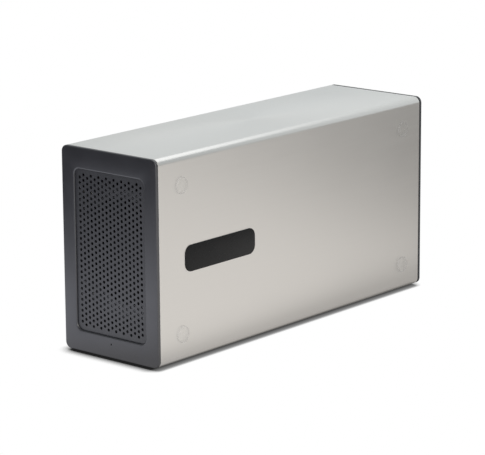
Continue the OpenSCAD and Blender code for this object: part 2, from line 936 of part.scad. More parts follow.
// Cup-shaped hub with its shaft, turning about Y
module fan_rotor()
    color([0.1, 0.1, 0.11]) in_case() translate([0, 0, fan_z]) along_y(fan_y + hub_front) {
        difference() {
            union() {
                rotate_extrude() {
                    square([hub_r - hub_ease, hub_d]);
                    translate([0, hub_ease]) square([hub_r, hub_d - hub_ease]);
                    translate([hub_r - hub_ease, hub_ease]) intersection() {
                        circle(hub_ease);
                        translate([0, -hub_ease]) square(hub_ease);
                    }
                }
                translate([0, 0, (hub_d - blade_d) / 2]) blades();
            }
            translate([0, 0, hub_wall]) cylinder(r = hub_r - hub_wall, h = hub_d);
        }
        cylinder(r = shaft_r, h = fan_depth - hub_front - motor_t);
    }

module fan_screws()
    color("silver") in_case()
        at_fan_holes() translate([0, pan_y, 0]) rotate([90, 0, 0])
            screw(fan_screw_r, fan_screw_l, fan_head_r, fan_head_t);

// Tube swept along a route of points, each ring square to the route
function unit(v) = v / norm(v);
function along(p, i) = unit(p[min(i + 1, len(p) - 1)] - p[max(i - 1, 0)]);
function side(t) = abs(t[2]) > steep_share ? unit(cross(t, [1, 0, 0])) : unit(cross(t, [0, 0, 1]));
function ring(c, t, r) =
    let (u = side(t), v = cross(t, u))
    [for (k = [0 : lead_sides - 1]) c + r * (cos(360 * k / lead_sides) * u + sin(360 * k / lead_sides) * v)];

module tube(p, r) {
    n = len(p);
    points = [for (i = [0 : n - 1]) each ring(p[i], along(p, i), r)];
    sides = [for (i = [0 : n - 2], k = [0 : lead_sides - 1])
        let (a = i * lead_sides + k, b = i * lead_sides + (k + 1) % lead_sides)
        each [[a, a + lead_sides, b], [b, a + lead_sides, b + lead_sides]]];
    ends = [[for (k = [0 : lead_sides - 1]) k], [for (k = [1 : lead_sides]) n * lead_sides - k]];
    polyhedron(points, concat(sides, ends));
}

// Points of a route with its inner corners rounded
function fillet(a, b, c, r) =
    let (p = b + unit(a - b) * r, q = b + unit(c - b) * r)
    [for (k = [0 : lead_steps])
        let (t = k / lead_steps)
        (1 - t) * (1 - t) * p + 2 * t * (1 - t) * b + t * t * q];
function route(p, r) = concat(
    [p[0]],
    [for (i = [1 : len(p) - 2]) each fillet(p[i - 1], p[i], p[i + 1], r)],
    [p[len(p) - 1]]);

// Lead from the fan's rear corner along the floor to its header
module fan_lead()
    color("black") in_case() tube(route([
        [header_x, fan_end - lead_bend, fan_z - fan_size / 2 - lead_r],
        [header_x, fan_end + lead_bend, fan_z - fan_size / 2 - lead_r],
        [header_x, fan_end + lead_run, lead_z],
        [header_x, board_y0 - lead_run, lead_z],
        [header_x, board_y0 - lead_run, header_top + lead_run],
        [header_x, header_y, header_top + lead_run],
        [header_x, header_y, header_top]
    ], lead_bend - lead_r), lead_r);

// Light behind the light pipe, on a small board at the foot of the tray's front wall
module led_board()
    color("darkgreen") in_case() translate([0, 0, led_h]) {
        slab(pan_y - led_board_t, pan_y) square([led_board_w, led_board_h], center = true);
        along_y(led_tip) cylinder(r = led_r, h = led_r);
    }

// Lead from the light through the tray's front wall, along the floor to its header
module led_lead()
    color("black") in_case() tube(route([
        [led_lead_x, pan_y, led_h],
        [led_lead_x, pan_y + lead_run, led_h],
        [led_lead_x, pan_y + 2 * lead_run, lead_z],
        [led_lead_x, board_y0 - lead_run, lead_z],
        [led_lead_x, board_y0 - lead_run, header_top + lead_run],
        [led_lead_x, header_y, header_top + lead_run],
        [led_lead_x, header_y, header_top]
    ], lead_bend - lead_r), lead_r);

// Boards

module at_board_holes()
    for (x = [-1, 1], y = [board_y0 + board_hole_side, (board_y0 + board_y1) / 2, board_y1 - board_hole_side])
        translate([x * (board_w / 2 - board_hole_side), y, 0]) children();

module main_board()
    color("darkgreen") in_case()
        difference() {
            translate([-board_w / 2, board_y0, board_z]) cube([board_w, board_l, pcb_t]);
            at_board_holes() translate([0, 0, board_z - over])
                cylinder(r = board_hole_r, h = pcb_t + 2 * over);
        }

module board_standoffs()
    color("goldenrod") in_case()
        at_board_holes() translate([0, 0, floor_z])
            difference() {
                cylinder(r = standoff_r, h = standoff_h);
                translate([0, 0, sheet_t]) cylinder(r = board_screw_r, h = standoff_h);
            }

module board_screws()
    color("silver") in_case()
        at_board_holes() translate([0, 0, board_top])
            screw(board_screw_r, board_screw_l, screw_head_r, screw_head_t);

// Card connector with its card groove, key and side ribs, and the ears that hold its latch
module card_slot(x)
    translate([x, 0, board_top])
        difference() {
            union() {
                translate([-connector_w / 2, connector_y0, 0]) cube([connector_w, connector_l, connector_h]);
                for (side = [-1, 1])
                    translate([side * ear_x, connector_y0 - ear_l / 2, ear_h / 2])
                        cube([ear_t, ear_l, ear_h], center = true);
            }
            difference() {
                translate([-groove_w / 2, connector_y0 + groove_end, connector_h - groove_d])
                    cube([groove_w, connector_l - 2 * groove_end, groove_d + over]);
                translate([-groove_w, connector_y1 - groove_end - key_back - key_l, 0])
                    cube([2 * groove_w, key_l, connector_h]);
            }
            for (side = [-1, 1], y = [connector_y0 + rib_pitch : rib_pitch : connector_y1 - rib_pitch])
                translate([side * connector_w / 2 - rib_d, y - rib_w / 2, rib_low])
                    cube([2 * rib_d, rib_w, connector_h - rib_low - rib_top]);
            translate([-connector_w, connector_y0 - pivot_back, pivot_z])
                rotate([0, 90, 0]) cylinder(r = pivot_r + bore_gap, h = 2 * connector_w);
        }

module card_slot_a() color([0.09, 0.09, 0.1]) in_case() card_slot(card_x[0]);

module card_slot_b() color([0.09, 0.09, 0.1]) in_case() card_slot(card_x[1]);

// Latch lever: a foot round its pivot pin, a stem, a hook over the card and a thumb piece
module slot_latch(x) {
    stem_y = -latch_t / 2;
    translate([x, connector_y0 - pivot_back, board_top + pivot_z]) {
        across(latch_w) {
            circle(latch_foot_r);
            translate([stem_y, 0]) square([latch_t, latch_h - pivot_z]);
            translate([stem_y, latch_h - pivot_z - latch_hook_t])
                square([latch_t + latch_hook_l, latch_hook_t]);
            translate([stem_y - latch_thumb_l, latch_h - pivot_z - latch_hook_t / 2])
                square([latch_thumb_l, latch_hook_t / 2]);
            translate([stem_y + latch_t, latch_h - pivot_z - latch_hook_t])
                polygon([[0, 0], [0, -latch_hook_l / 2], [latch_hook_l / 2, 0]]);
        }
        rotate([0, 90, 0]) cylinder(r = pivot_r, h = latch_w + 2 * ear_t, center = true);
    }
}

module slot_latch_a() color("ivory") in_case() slot_latch(card_x[0]);

module slot_latch_b() color("ivory") in_case() slot_latch(card_x[1]);

// Blank bracket in a slot that has no card, with its tab, tongue and embossed field
module slot_cover(x) {
    difference() {
        union() {
            slab(bracket_y - bracket_t, bracket_y) {
                translate([x - bracket_w / 2, floor_z + tongue_gap + tongue_h])
                    square([bracket_w, bracket_h - bracket_t - tongue_h]);
                translate([x - tongue_w / 2, floor_z + tongue_gap]) square([tongue_w, tongue_h]);
            }
            translate([x - bracket_w / 2, bracket_y - bracket_t, ledge_z])
                cube([bracket_w, tab_l + bracket_t, bracket_t]);
            slab(bracket_y, bracket_y + emboss_h)
                translate([x, (pocket_low + pocket_top) / 2])
                    rounded_rect(emboss_w, pocket_top - pocket_low - 2 * emboss_end, emboss_r);
        }
        slab(bracket_y - bracket_t - over, bracket_y)
            translate([x, (pocket_low + pocket_top) / 2])
                rounded_rect(emboss_w - 2 * emboss_h, pocket_top - pocket_low - 2 * (emboss_end + emboss_h),
                    emboss_r - emboss_h);
        translate([x + tab_screw_x, bracket_y + tab_l / 2, ledge_z - over]) {
            cylinder(r = tab_notch_r, h = bracket_t + 2 * over);
            translate([0, -tab_notch_r, 0]) cube([bracket_w, 2 * tab_notch_r, bracket_t + 2 * over]);
        }
    }
}

module slot_cover_a() color("silver") in_case() slot_cover(slot_x[0]);

module slot_cover_b() color("silver") in_case() slot_cover(slot_x[1]);

module slot_cover_screws()
    color("darkgray") in_case()
        for (x = slot_x)
            translate([x + tab_screw_x, bracket_y + tab_l / 2, ledge_z + bracket_t])
                screw(cover_screw_r, cover_screw_l, cover_head_r, cover_head_t);

module at_host_screws()
    for (z = [host_screw_low, host_screw_high])
        translate([0, panel_y - host_screw_back, host_z + z]) rotate([0, 90, 0]) children();

module host_board()
    color("darkgreen") in_case()
        difference() {
            union() {
                translate([host_x, host_y0, host_z]) cube([pcb_t, host_l, host_h]);
                translate([host_x, host_y0 + tab_end / 2, host_z - run_gap - tab_depth])
                    cube([pcb_t, socket_l - 2 * socket_wall - 2 * slip, tab_depth + run_gap]);
            }
            at_host_screws() translate([0, 0, host_x - over])
                cylinder(r = host_screw_r + slip, h = pcb_t + 2 * over);
        }

// Upright edge connector that joins the two boards
module host_socket()
    color([0.09, 0.09, 0.1]) in_case()
        translate([host_x + pcb_t / 2 - socket_w / 2, host_y0 + tab_end / 2 - socket_wall - slip, board_top])
            difference() {
                cube([socket_w, socket_l, socket_h]);
                translate([(socket_w - pcb_t) / 2 - slip, socket_wall, socket_h - tab_depth - slip])
                    cube([pcb_t + 2 * slip, socket_l - 2 * socket_wall, tab_depth + slip + over]);
            }

module host_bracket()
    color("silver") in_case()
        difference() {
            translate([0, 0, host_z + host_bracket_low]) {
                translate([host_x - sheet_t, panel_y - host_bracket_l, 0])
                    cube([sheet_t, host_bracket_l, host_bracket_h]);
                translate([host_x - host_bracket_w, panel_y - sheet_t, 0])
                    cube([host_bracket_w, sheet_t, host_bracket_h]);
            }
            at_host_screws()
                translate([0, 0, host_x - sheet_t - over]) cylinder(r = host_screw_r, h = sheet_t + 2 * over);
            at_host_rivets() along_y(panel_y - sheet_t - over) cylinder(r = rivet_r, h = sheet_t + 2 * over);
        }

module host_screws()
    color("silver") in_case()
        at_host_screws() translate([0, 0, host_face])
            screw(host_screw_r, host_screw_l, screw_head_r, screw_head_t);

module controller_chip()
    color([0.16, 0.16, 0.17]) in_case()
        translate([host_face, chip_y - chip_side / 2, chip_z - chip_side / 2])
            cube([chip_t, chip_side, chip_side]);

// Extruded heat sink, fins along the air stream
module heat_sink()
    color("darkgray") in_case() translate([host_face + chip_t, chip_y - sink_w / 2, chip_z - sink_w / 2]) {
        cube([sink_base, sink_w, sink_w]);
        for (i = [0 : fin_count - 1])
            translate([0, 0, i * (sink_w - fin_t) / (fin_count - 1)]) cube([sink_h, sink_w, fin_t]);
    }

// Shell with a closed back and a contact tongue
module usb_c_port(z)
    translate([usb_x, 0, z]) {
        slab(body_l - port_inset - usb_l, body_l - port_inset)
            difference() {
                usb_outline(0);
                usb_outline(-usb_wall);
            }
        slab(body_l - port_inset - usb_l, body_l - port_inset - usb_l + usb_wall) usb_outline(0);
        slab(body_l - port_inset - usb_l, body_l - port_inset - usb_tongue_back)
            square([usb_tongue_t, usb_tongue_w], center = true);
    }

module usb_c_port_a() color("silver") in_case() usb_c_port(usb_a_z);

module usb_c_port_b() color("silver") in_case() usb_c_port(usb_b_z);

module display_port()
    color("silver") in_case() translate([dp_x, 0, dp_z]) {
        slab(body_l - port_inset - dp_l, body_l - port_inset)
            difference() {
                dp_outline(0);
                dp_outline(-dp_wall);
            }
        slab(body_l - port_inset - dp_l, body_l - port_inset - dp_l + dp_wall) dp_outline(0);
        slab(body_l - port_inset - dp_l, body_l - port_inset - usb_tongue_back)
            square([dp_tongue_t, dp_tongue_w], center = true);
    }

module dc_jack()
    color([0.1, 0.1, 0.11]) in_case() translate([jack_x, 0, jack_z]) {
        difference() {
            union() {
                slab(panel_y - jack_l, panel_y) square([jack_h, jack_w], center = true);
                along_y(panel_y) cylinder(r = jack_collar_r - slip, h = panel_t - port_inset);
            }
            along_y(body_l - port_inset - jack_bore_l) cylinder(r = jack_bore_r, h = jack_bore_l + over);
        }
        along_y(body_l - port_inset - jack_bore_l) cylinder(r = jack_pin_r, h = jack_pin_l);
    }

module bridge_chip()
    color([0.16, 0.16, 0.17]) in_case()
        translate([board_x1 - bridge_side_in - bridge_side, board_y0 + bridge_front, board_top])
            cube([bridge_side, bridge_side, bridge_t]);

module power_coils()
    color([0.25, 0.25, 0.27]) in_case()
        for (i = [0 : coil_count - 1])
            translate([board_x1 - coil_side_in, parts_y + i * coil_pitch, board_top])
                linear_extrude(coil_h) rounded_rect(coil_side, coil_side, coil_r);

module capacitors()
    color("slategray") in_case()
        for (i = [0 : can_count - 1])
            translate([board_x1 - can_side_in, parts_y + i * can_pitch, board_top])
                rotate_extrude() {
                    square([can_r - can_groove, can_h]);
                    square([can_r, can_foot_h]);
                    translate([0, can_body_z]) square([can_r, can_h - can_body_z]);
                }

module small_chips()
    color([0.13, 0.13, 0.14]) in_case()
        for (i = [0 : chip_count - 1])
            translate([board_x1 - chip_side_in - chip_w, board_y0 + chips_front + i * chips_pitch, board_top])
                cube([chip_w, chip_l, chip_h]);

// Header with its plug, for a lead that comes down from above
module header(x, w)
    translate([x, header_y, board_top]) {
        translate([-w / 2, -header_d / 2, 0]) cube([w, header_d, header_h - header_wall]);
        translate([header_wall - w / 2, header_wall - header_d / 2, 0])
            cube([w - 2 * header_wall, header_d - 2 * header_wall, header_h]);
    }

module fan_header() color("ivory") in_case() header(header_x, fan_header_w);

module led_header() color("ivory") in_case() header(led_lead_x, led_header_w);

// Thumbscrews

module thumb_washer(x)
    translate([x, 0, thumb_z]) along_y(body_l + washer_gap)
        difference() {
            cylinder(r = washer_r, h = washer_t);
            translate([0, 0, -over]) cylinder(r = thumb_r + bore_gap, h = washer_t + 2 * over);
        }

module thumb_washer_left() color("silver") in_case() thumb_washer(-thumb_x);

module thumb_washer_right() color("silver") in_case() thumb_washer(thumb_x);

// Fluted knob with a slot for a driver, on a shank that reaches through the nut
module thumbscrew(x)
    translate([x, 0, thumb_z]) {
        along_y(thumb_tip)
            cylinder(r = thumb_r, h = body_l + 2 * washer_gap + washer_t - thumb_tip);
        difference() {
            along_y(body_l + 2 * washer_gap + washer_t) cylinder(r = knob_d / 2, h = knob_l);
            slab(body_l, body_l + knob_reach - knob_recess_d)
                for (i = [0 : knob_flutes - 1])
                    rotate(360 * i / knob_flutes) translate([knob_d / 2, 0]) circle(knob_flute_r);
            translate([-knob_d, body_l + knob_reach - knob_recess_d, -knob_recess_w / 2])
                cube([2 * knob_d, knob_recess_d + over, knob_recess_w]);
        }
    }

module thumbscrew_left() color("silver") in_case() thumbscrew(-thumb_x);

module thumbscrew_right() color("silver") in_case() thumbscrew(thumb_x);

outer_sleeve();
front_bezel();
front_frame();
front_grille();
bezel_screws();
led_light_pipe();
badge_plate();
bottom_feet();
side_bumpers();
sleeve_brackets();
clinch_nuts();
tray_pan();
slot_frame();
rear_panel();
panel_rivets();
fan_frame();
fan_bearing();
fan_stator();
fan_rotor();
fan_screws();
fan_lead();
led_board();
led_lead();
main_board();
board_standoffs();
board_screws();
card_slot_a();
card_slot_b();
slot_latch_a();
slot_latch_b();
slot_cover_a();
slot_cover_b();
slot_cover_screws();
host_board();
host_socket();
host_bracket();
host_screws();
controller_chip();
heat_sink();
usb_c_port_a();
usb_c_port_b();
display_port();
dc_jack();
bridge_chip();
power_coils();
capacitors();
small_chips();
fan_header();
led_header();
thumb_washer_left();
thumb_washer_right();
thumbscrew_left();
thumbscrew_right();
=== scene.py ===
# Expansion chassis for two cards: looks, stage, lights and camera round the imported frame
import json
import math
import random

import bmesh
import bpy
from mathutils import Matrix, Vector

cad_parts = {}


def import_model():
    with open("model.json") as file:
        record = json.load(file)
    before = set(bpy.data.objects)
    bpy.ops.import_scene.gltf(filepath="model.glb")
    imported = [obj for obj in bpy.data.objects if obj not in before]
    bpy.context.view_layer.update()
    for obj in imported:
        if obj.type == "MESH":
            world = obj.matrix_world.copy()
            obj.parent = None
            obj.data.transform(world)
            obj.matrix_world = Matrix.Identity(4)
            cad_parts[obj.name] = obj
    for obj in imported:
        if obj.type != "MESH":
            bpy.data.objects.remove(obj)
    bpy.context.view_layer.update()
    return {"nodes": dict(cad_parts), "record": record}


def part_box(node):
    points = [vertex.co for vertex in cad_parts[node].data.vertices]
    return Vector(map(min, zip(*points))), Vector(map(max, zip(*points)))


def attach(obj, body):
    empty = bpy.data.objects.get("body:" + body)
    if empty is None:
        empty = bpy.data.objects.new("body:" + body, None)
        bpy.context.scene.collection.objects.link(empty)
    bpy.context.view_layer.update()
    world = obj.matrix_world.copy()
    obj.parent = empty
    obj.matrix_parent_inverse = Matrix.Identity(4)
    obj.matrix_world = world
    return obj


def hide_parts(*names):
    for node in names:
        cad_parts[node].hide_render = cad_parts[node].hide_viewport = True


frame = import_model()

MM = 0.001
scene = bpy.context.scene

# Places read from the frame: the case in front view, and its stations along Y
sleeve_lo, sleeve_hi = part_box("outer_sleeve")
bezel_lo, bezel_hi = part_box("front_bezel")
CASE_X = (sleeve_lo.x + sleeve_hi.x) / 2
CASE_Y = bezel_lo.y
CASE_Z = sleeve_lo.z
CASE_W = sleeve_hi.x - sleeve_lo.x
CASE_H = sleeve_hi.z - sleeve_lo.z
CASE_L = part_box("rear_panel")[1].y - bezel_lo.y
FACE_MIDDLE = Vector((CASE_X, CASE_Y, CASE_Z + CASE_H / 2))
FLOOR_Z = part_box("bottom_feet")[0].z

# Sleeve and bezel
CORNER_R = 4.75 * MM
LEAST_R = 0.4 * MM
SLEEVE_T = 1.5 * MM
PLUG_SLIP = 0.15 * MM
BEZEL_PROUD = 2 * MM
BEZEL_WALL = 2 * MM
BEZEL_DEPTH = bezel_hi.y - bezel_lo.y
RIM_SIDE = 11.7 * MM
RIM_END = 15.35 * MM
WINDOW_R = 5 * MM
WINDOW_EDGE_R = 1.1 * MM
RECESS_D = 1.5 * MM
GRILLE_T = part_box("front_grille")[1].y - CASE_Y - RECESS_D
GRILLE_LAP = 3.4 * MM
GRILLE_R = 3 * MM
EDGE_R = 0.8 * MM
CUT_EDGE_R = 0.35 * MM
LED_R = 0.75 * MM
LED_H = 10 * MM
# Badge and clear pads: the crown's hollow as shares of the radius, and its depths in mm
BADGE_R = 6.2 * MM
BADGE_EDGE = 0.25 * MM
PAD_LIFT = 0.01 * MM
PAD_EASE = 0.15 * MM
PAD_SHOULDER = 0.42
PAD_HOLLOW = ((0.62, 0), (0.55, 0.04), (0.3, 0.1), (0, 0.12))
PAD_CROWN = 0.85
# Fan rotor
HUB_R = 17 * MM
HUB_WALL = 1.5 * MM
HUB_EASE = 1.5 * MM
HUB_D = 17 * MM
HUB_DIMPLE = ((0, 0.35 * MM), (3 * MM, 0.3 * MM), (3.4 * MM, 0))
SHAFT_R = 1.5 * MM
BLADE_COUNT = 7
BLADE_TWIST = math.radians(42)
BLADE_D = 15 * MM
BLADE_W = 2.6 * MM
BLADE_ROOT = 0.3 * MM
BLADE_FULLNESS = 0.8
BLADE_LEAN = (0.8, 0.15)
BLADE_SPANS = 8
BLADE_CHORDS = 14
WELD = 0.002 * MM
# Screws: the cross's two grooves as shares of the head's radius (twice) and height
THREAD_PITCH = 0.5 * MM
THREAD_DEPTH = 0.12 * MM
THREAD_LEAD = 0.01 * MM
HEAD_WALL = 0.35
HEAD_EASE = 0.28
CROSS = ((1.15, 0.26, 0.62), (0.26, 1.15, 0.62 * 0.97))
# Card slots
SLOT_END = 2.5 * MM
LATCH_REACH = 3.5 * MM
KEY_FROM = 13.2 * MM
KEY_TO = 15.9 * MM
CONTACT_PITCH = 1 * MM
# Ports: tongue, strips on it, shell's wall, depth of the mouth, height of the lock, corner
USB_C = {"tongue_t": 0.7 * MM, "tongue_w": 6.7 * MM, "strips": 12, "pitch": 0.5 * MM,
         "reach": 5 * MM, "wall": 0.35 * MM, "mouth": 5.2 * MM, "lock": 0, "corner": 1.1 * MM}
DISPLAY = {"tongue_t": 1 * MM, "tongue_w": 13 * MM, "strips": 10, "pitch": 1 * MM,
           "reach": 8 * MM, "wall": 0.4 * MM, "mouth": 8.2 * MM, "lock": 0.9 * MM,
           "corner": 0.9 * MM}
PORTS = {"usb_c_port_a": USB_C, "usb_c_port_b": USB_C, "display_port": DISPLAY}
STRIP_FROM = 1.5 * MM
STRIP_SUNK = 0.02 * MM
STRIP_PROUD = 0.06 * MM
TONGUE_SKIN = 0.03 * MM
TONGUE_FROM = 1.17 * MM
TONGUE_ROOT = 0.5 * MM
# Power inlet's pin
JACK_X = 15.13 * MM
JACK_Z = 26.4 * MM
JACK_DEPTH = 10 * MM
PIN_R = 1.3 * MM
PIN_L = 7.9 * MM
PIN_NOSE = 0.7 * MM
# Capacitor cans, in mm: insets from the side with heights, then with depths below the top
CAN_FOOT = ((0.2, 0), (0, 0.2), (0, 2), (0.4, 2.35), (0, 2.7))
CAN_BROW = ((0, 0.5), (0.15, 0.2), (0.8, 0.1), (0.9, 0.35))
CAN_TOP = ((0.85, 0.5), (0.95, 0.08))
CAN_CROWN = 0.02 * MM
SCORE_W = 0.25 * MM
SCORE_L = 1.5
# Small parts on the boards, in mm: length, width, height and kind
SMALL_PARTS = ((1.6, 0.8, 0.5, "resistor"), (1.6, 0.8, 0.8, "ceramic"), (2.0, 1.25, 1.0, "ceramic"),
               (3.2, 1.6, 1.3, "ceramic"), (1.0, 0.5, 0.4, "resistor"))
ROW_COUNTS = (1, 1, 2, 3, 4)
ROW_GAP = 0.9
BODY_SHARE = (0.62, 0.94, 0.96)
END_SHARE = 0.24
END_SHIFT = 0.4
END_SUNK = 0.02
END_EASE = 0.04 * MM
PART_MARGIN = 1 * MM
BOARD_MARGIN = 3 * MM
HEAD_ROOM = 6 * MM
# Fineness of round shapes
CORNER_STEPS = 14
EDGE_STEPS = 5
SMALL_EDGE_STEPS = 3
SHOULDER_STEPS = 6
ARC_STEPS = 5
SMALL_ROUND = 24
HOLE_ROUND = 32
CAN_ROUND = 40
PAD_ROUND = 48
HUB_ROUND = 64
SMOOTH_ANGLE = math.radians(32)
# Turns that bring the Z axis onto another
TURN = {"X": Matrix.Rotation(math.pi / 2, 4, "Y"), "Y": Matrix.Rotation(-math.pi / 2, 4, "X"),
        "Z": Matrix.Identity(4), "-Z": Matrix.Rotation(math.pi, 4, "X")}


# Meshes

def piece(name, source, body, replaces=(), finish=None, look=None):
    """A new piece from a bmesh, with its finish and material, riding on a body."""
    mesh = bpy.data.meshes.new(name)
    bmesh.ops.recalc_face_normals(source, faces=source.faces)
    source.to_mesh(mesh)
    source.free()
    for polygon in mesh.polygons:
        polygon.use_smooth = True
    mesh.set_sharp_from_angle(angle=SMOOTH_ANGLE)
    finish = finish or SLOT[replaces[0]]
    mesh.materials.append(look or looks[finish])
    obj = bpy.data.objects.new(name, mesh)
    scene.collection.objects.link(obj)
    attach(obj, body)
    if replaces:
        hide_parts(*replaces)
    return obj


def outline(w, h, r):
    """Points of a rounded rectangle about the origin, counter-clockwise in X and Z."""
    corners = ((w / 2 - r, r - h / 2, -90), (w / 2 - r, h / 2 - r, 0),
               (r - w / 2, h / 2 - r, 90), (r - w / 2, r - h / 2, 180))
    return [(cx + r * math.cos(math.radians(start + 90 * k / CORNER_STEPS)),
             cz + r * math.sin(math.radians(start + 90 * k / CORNER_STEPS)))
            for cx, cz, start in corners for k in range(CORNER_STEPS + 1)]


def quarter(r, steps=EDGE_STEPS):
    """Points of a quarter circle from the side face to the front face: (inset, depth)."""
    return [(r * (1 - math.cos(math.pi / 2 * k / steps)),
             r * (1 - math.sin(math.pi / 2 * k / steps))) for k in range(steps + 1)]


def arc(steps=ARC_STEPS):
    """Angles from one step above 0 to a right angle."""
    return [math.pi / 2 * k / steps for k in range(1, steps + 1)]


def band(bm, a, b):
    """Faces between two closed loops with the same number of points."""
    for i in range(len(a)):
        j = (i + 1) % len(a)
        bm.faces.new((a[i], a[j], b[j], b[i]))


def ring_loft(bm, loops):
    """Closed ring through outlines (w, h, r, y) about the middle of the case."""
    x0, y0, z0 = FACE_MIDDLE
    rings = [[bm.verts.new((x0 + x, y0 + y, z0 + z)) for x, z in outline(w, h, r)]
             for w, h, r, y in loops]
    for a, b in zip(rings, rings[1:] + rings[:1]):
        band(bm, a, b)


def lathe(bm, profile, steps, to_world):
    """Closed body turned about Z from (radius, height) points that start and end on the axis."""
    rings = []
    for r, h in profile:
        if r == 0:
            rings.append([bm.verts.new(to_world @ Vector((0, 0, h)))] * steps)
        else:
            turns = [2 * math.pi * k / steps for k in range(steps)]
            rings.append([bm.verts.new(to_world @ Vector((r * math.cos(t), r * math.sin(t), h)))
                          for t in turns])
    for a, b in zip(rings, rings[1:]):
        for k in range(steps):
            j = (k + 1) % steps
            corners = list(dict.fromkeys((a[k], a[j], b[j], b[k])))
            if len(corners) > 2:
                bm.faces.new(corners)


def cube(bm, place, size):
    """Box of a size about a place."""
    return bmesh.ops.create_cube(bm, size=1, matrix=place @ Matrix.Diagonal((*size, 1)))


def cuboid(bm, lo, hi, bevel=0.0):
    """Box between two corners, with its edges eased."""
    made = cube(bm, Matrix.Translation((lo + hi) / 2), hi - lo)
    if bevel:
        edges = list({e for v in made["verts"] for e in v.link_edges})
        bmesh.ops.bevel(bm, geom=edges, offset=bevel, segments=2, profile=0.5, affect="EDGES")


def cut_out(obj, cutter_bm):
    """Cuts a bmesh out of a piece for good."""
    bmesh.ops.recalc_face_normals(cutter_bm, faces=cutter_bm.faces)
    mesh = bpy.data.meshes.new("cutter")
    cutter_bm.to_mesh(mesh)
    cutter_bm.free()
    cutter = bpy.data.objects.new("cutter", mesh)
    scene.collection.objects.link(cutter)
    mod = obj.modifiers.new("cut", "BOOLEAN")
    mod.object = cutter
    mod.solver = "EXACT"
    bpy.context.view_layer.update()
    evaluated = obj.evaluated_get(bpy.context.evaluated_depsgraph_get())
    cut = bpy.data.meshes.new_from_object(evaluated)
    obj.modifiers.clear()
    obj.data = cut
    bpy.data.objects.remove(cutter)


# Shader nodes

def new_look(name, colour, rough, metal=0.0, ior=1.5):
    """A material, its tree and its shader, for a finish to fill in."""
    look = bpy.data.materials.new(name)
    look.use_nodes = True
    tree = look.node_tree
    shader = tree.nodes["Principled BSDF"]
    shader.inputs["Base Color"].default_value = (*colour, 1)
    shader.inputs["Roughness"].default_value = rough
    shader.inputs["Metallic"].default_value = metal
    shader.inputs["IOR"].default_value = ior
    look.diffuse_color = (*colour, 1)
    return look, tree, shader


def give(tree, value, socket):
    """Feeds a socket from another node's output, a colour or a number."""
    if isinstance(value, bpy.types.NodeSocket):
        tree.links.new(value, socket)
    else:
        socket.default_value = (*value, 1) if isinstance(value, tuple) else value


def coords(tree, scale=(1, 1, 1)):
    """Object coordinates in metres, scaled along each axis."""
    mapping = tree.nodes.new("ShaderNodeMapping")
    mapping.inputs["Scale"].default_value = scale
    source = tree.nodes.new("ShaderNodeTexCoord")
    tree.links.new(source.outputs["Object"], mapping.inputs["Vector"])
    return mapping.outputs["Vector"]


def stretched(scale, along):
    """A scale on two axes, and a fiftieth of it on the axis that streaks run along."""
    return tuple(scale / 50 if i == along else scale for i in range(3))


def noise(tree, vector, scale, detail=2.0, rough=0.55):
    """Soft noise; its values lie mostly within NOISE_SPAN."""
    node = tree.nodes.new("ShaderNodeTexNoise")
    node.inputs["Scale"].default_value = scale
    node.inputs["Detail"].default_value = detail
    node.inputs["Roughness"].default_value = rough
    tree.links.new(vector, node.inputs["Vector"])
    return node.outputs["Fac"]


def cells(tree, vector, scale):
    """Distance from the middle of the nearest of many random cells."""
    node = tree.nodes.new("ShaderNodeTexVoronoi")
    node.inputs["Scale"].default_value = scale
    tree.links.new(vector, node.inputs["Vector"])
    return node.outputs["Distance"]


def waves(tree, vector, scale, direction, distortion=0.0):
    """Parallel bands that swell and fade."""
    node = tree.nodes.new("ShaderNodeTexWave")
    node.bands_direction = direction
    node.inputs["Scale"].default_value = scale
    node.inputs["Distortion"].default_value = distortion
    tree.links.new(vector, node.inputs["Vector"])
    return node.outputs["Fac"]


def between(tree, value, lo, hi, out_lo=0.0, out_hi=1.0):
    """A value's range mapped onto another."""
    node = tree.nodes.new("ShaderNodeMapRange")
    ends = {"From Min": lo, "From Max": hi, "To Min": out_lo, "To Max": out_hi}
    for socket, number in ends.items():
        node.inputs[socket].default_value = number
    tree.links.new(value, node.inputs["Value"])
    return node.outputs["Result"]


def computed(tree, operation, *values):
    """One operation on numbers or other nodes' outputs."""
    node = tree.nodes.new("ShaderNodeMath")
    node.operation = operation
    for value, socket in zip(values, node.inputs):
        give(tree, value, socket)
    return node.outputs[0]


def sum_of(tree, a, b, share=1.0):
    """a plus share times b."""
    return computed(tree, "MULTIPLY_ADD", b, share, a)


def product(tree, a, b):
    """a times b."""
    return computed(tree, "MULTIPLY", a, b)


def along_direction(tree, vector, direction):
    """How far a vector reaches in a direction."""
    node = tree.nodes.new("ShaderNodeVectorMath")
    node.operation = "DOT_PRODUCT"
    node.inputs[1].default_value = direction
    tree.links.new(vector, node.inputs[0])
    return node.outputs["Value"]


def blend(tree, factor, a, b):
    """A number between two, each a number or another node's output."""
    node = tree.nodes.new("ShaderNodeMix")
    node.data_type = "FLOAT"
    for value, index in ((factor, 0), (a, 2), (b, 3)):
        give(tree, value, node.inputs[index])
    return node.outputs[0]


def mixed(tree, factor, dark, light):
    """A colour between two, each a colour or another node's output."""
    node = tree.nodes.new("ShaderNodeMix")
    node.data_type = "RGBA"
    for value, index in ((factor, 0), (dark, 6), (light, 7)):
        give(tree, value, node.inputs[index])
    return node.outputs[2]


def shade(colour, share):
    """A colour made darker or lighter."""
    return tuple(c * share for c in colour)


def tinted(tree, shader, factor, colour, dark, light):
    """Base colour that varies between two shares of one colour."""
    base = mixed(tree, factor, shade(colour, dark), shade(colour, light))
    tree.links.new(base, shader.inputs["Base Color"])


def roughened(tree, shader, value, span, least, most):
    """Roughness that follows a value over its span."""
    tree.links.new(between(tree, value, *span, least, most), shader.inputs["Roughness"])


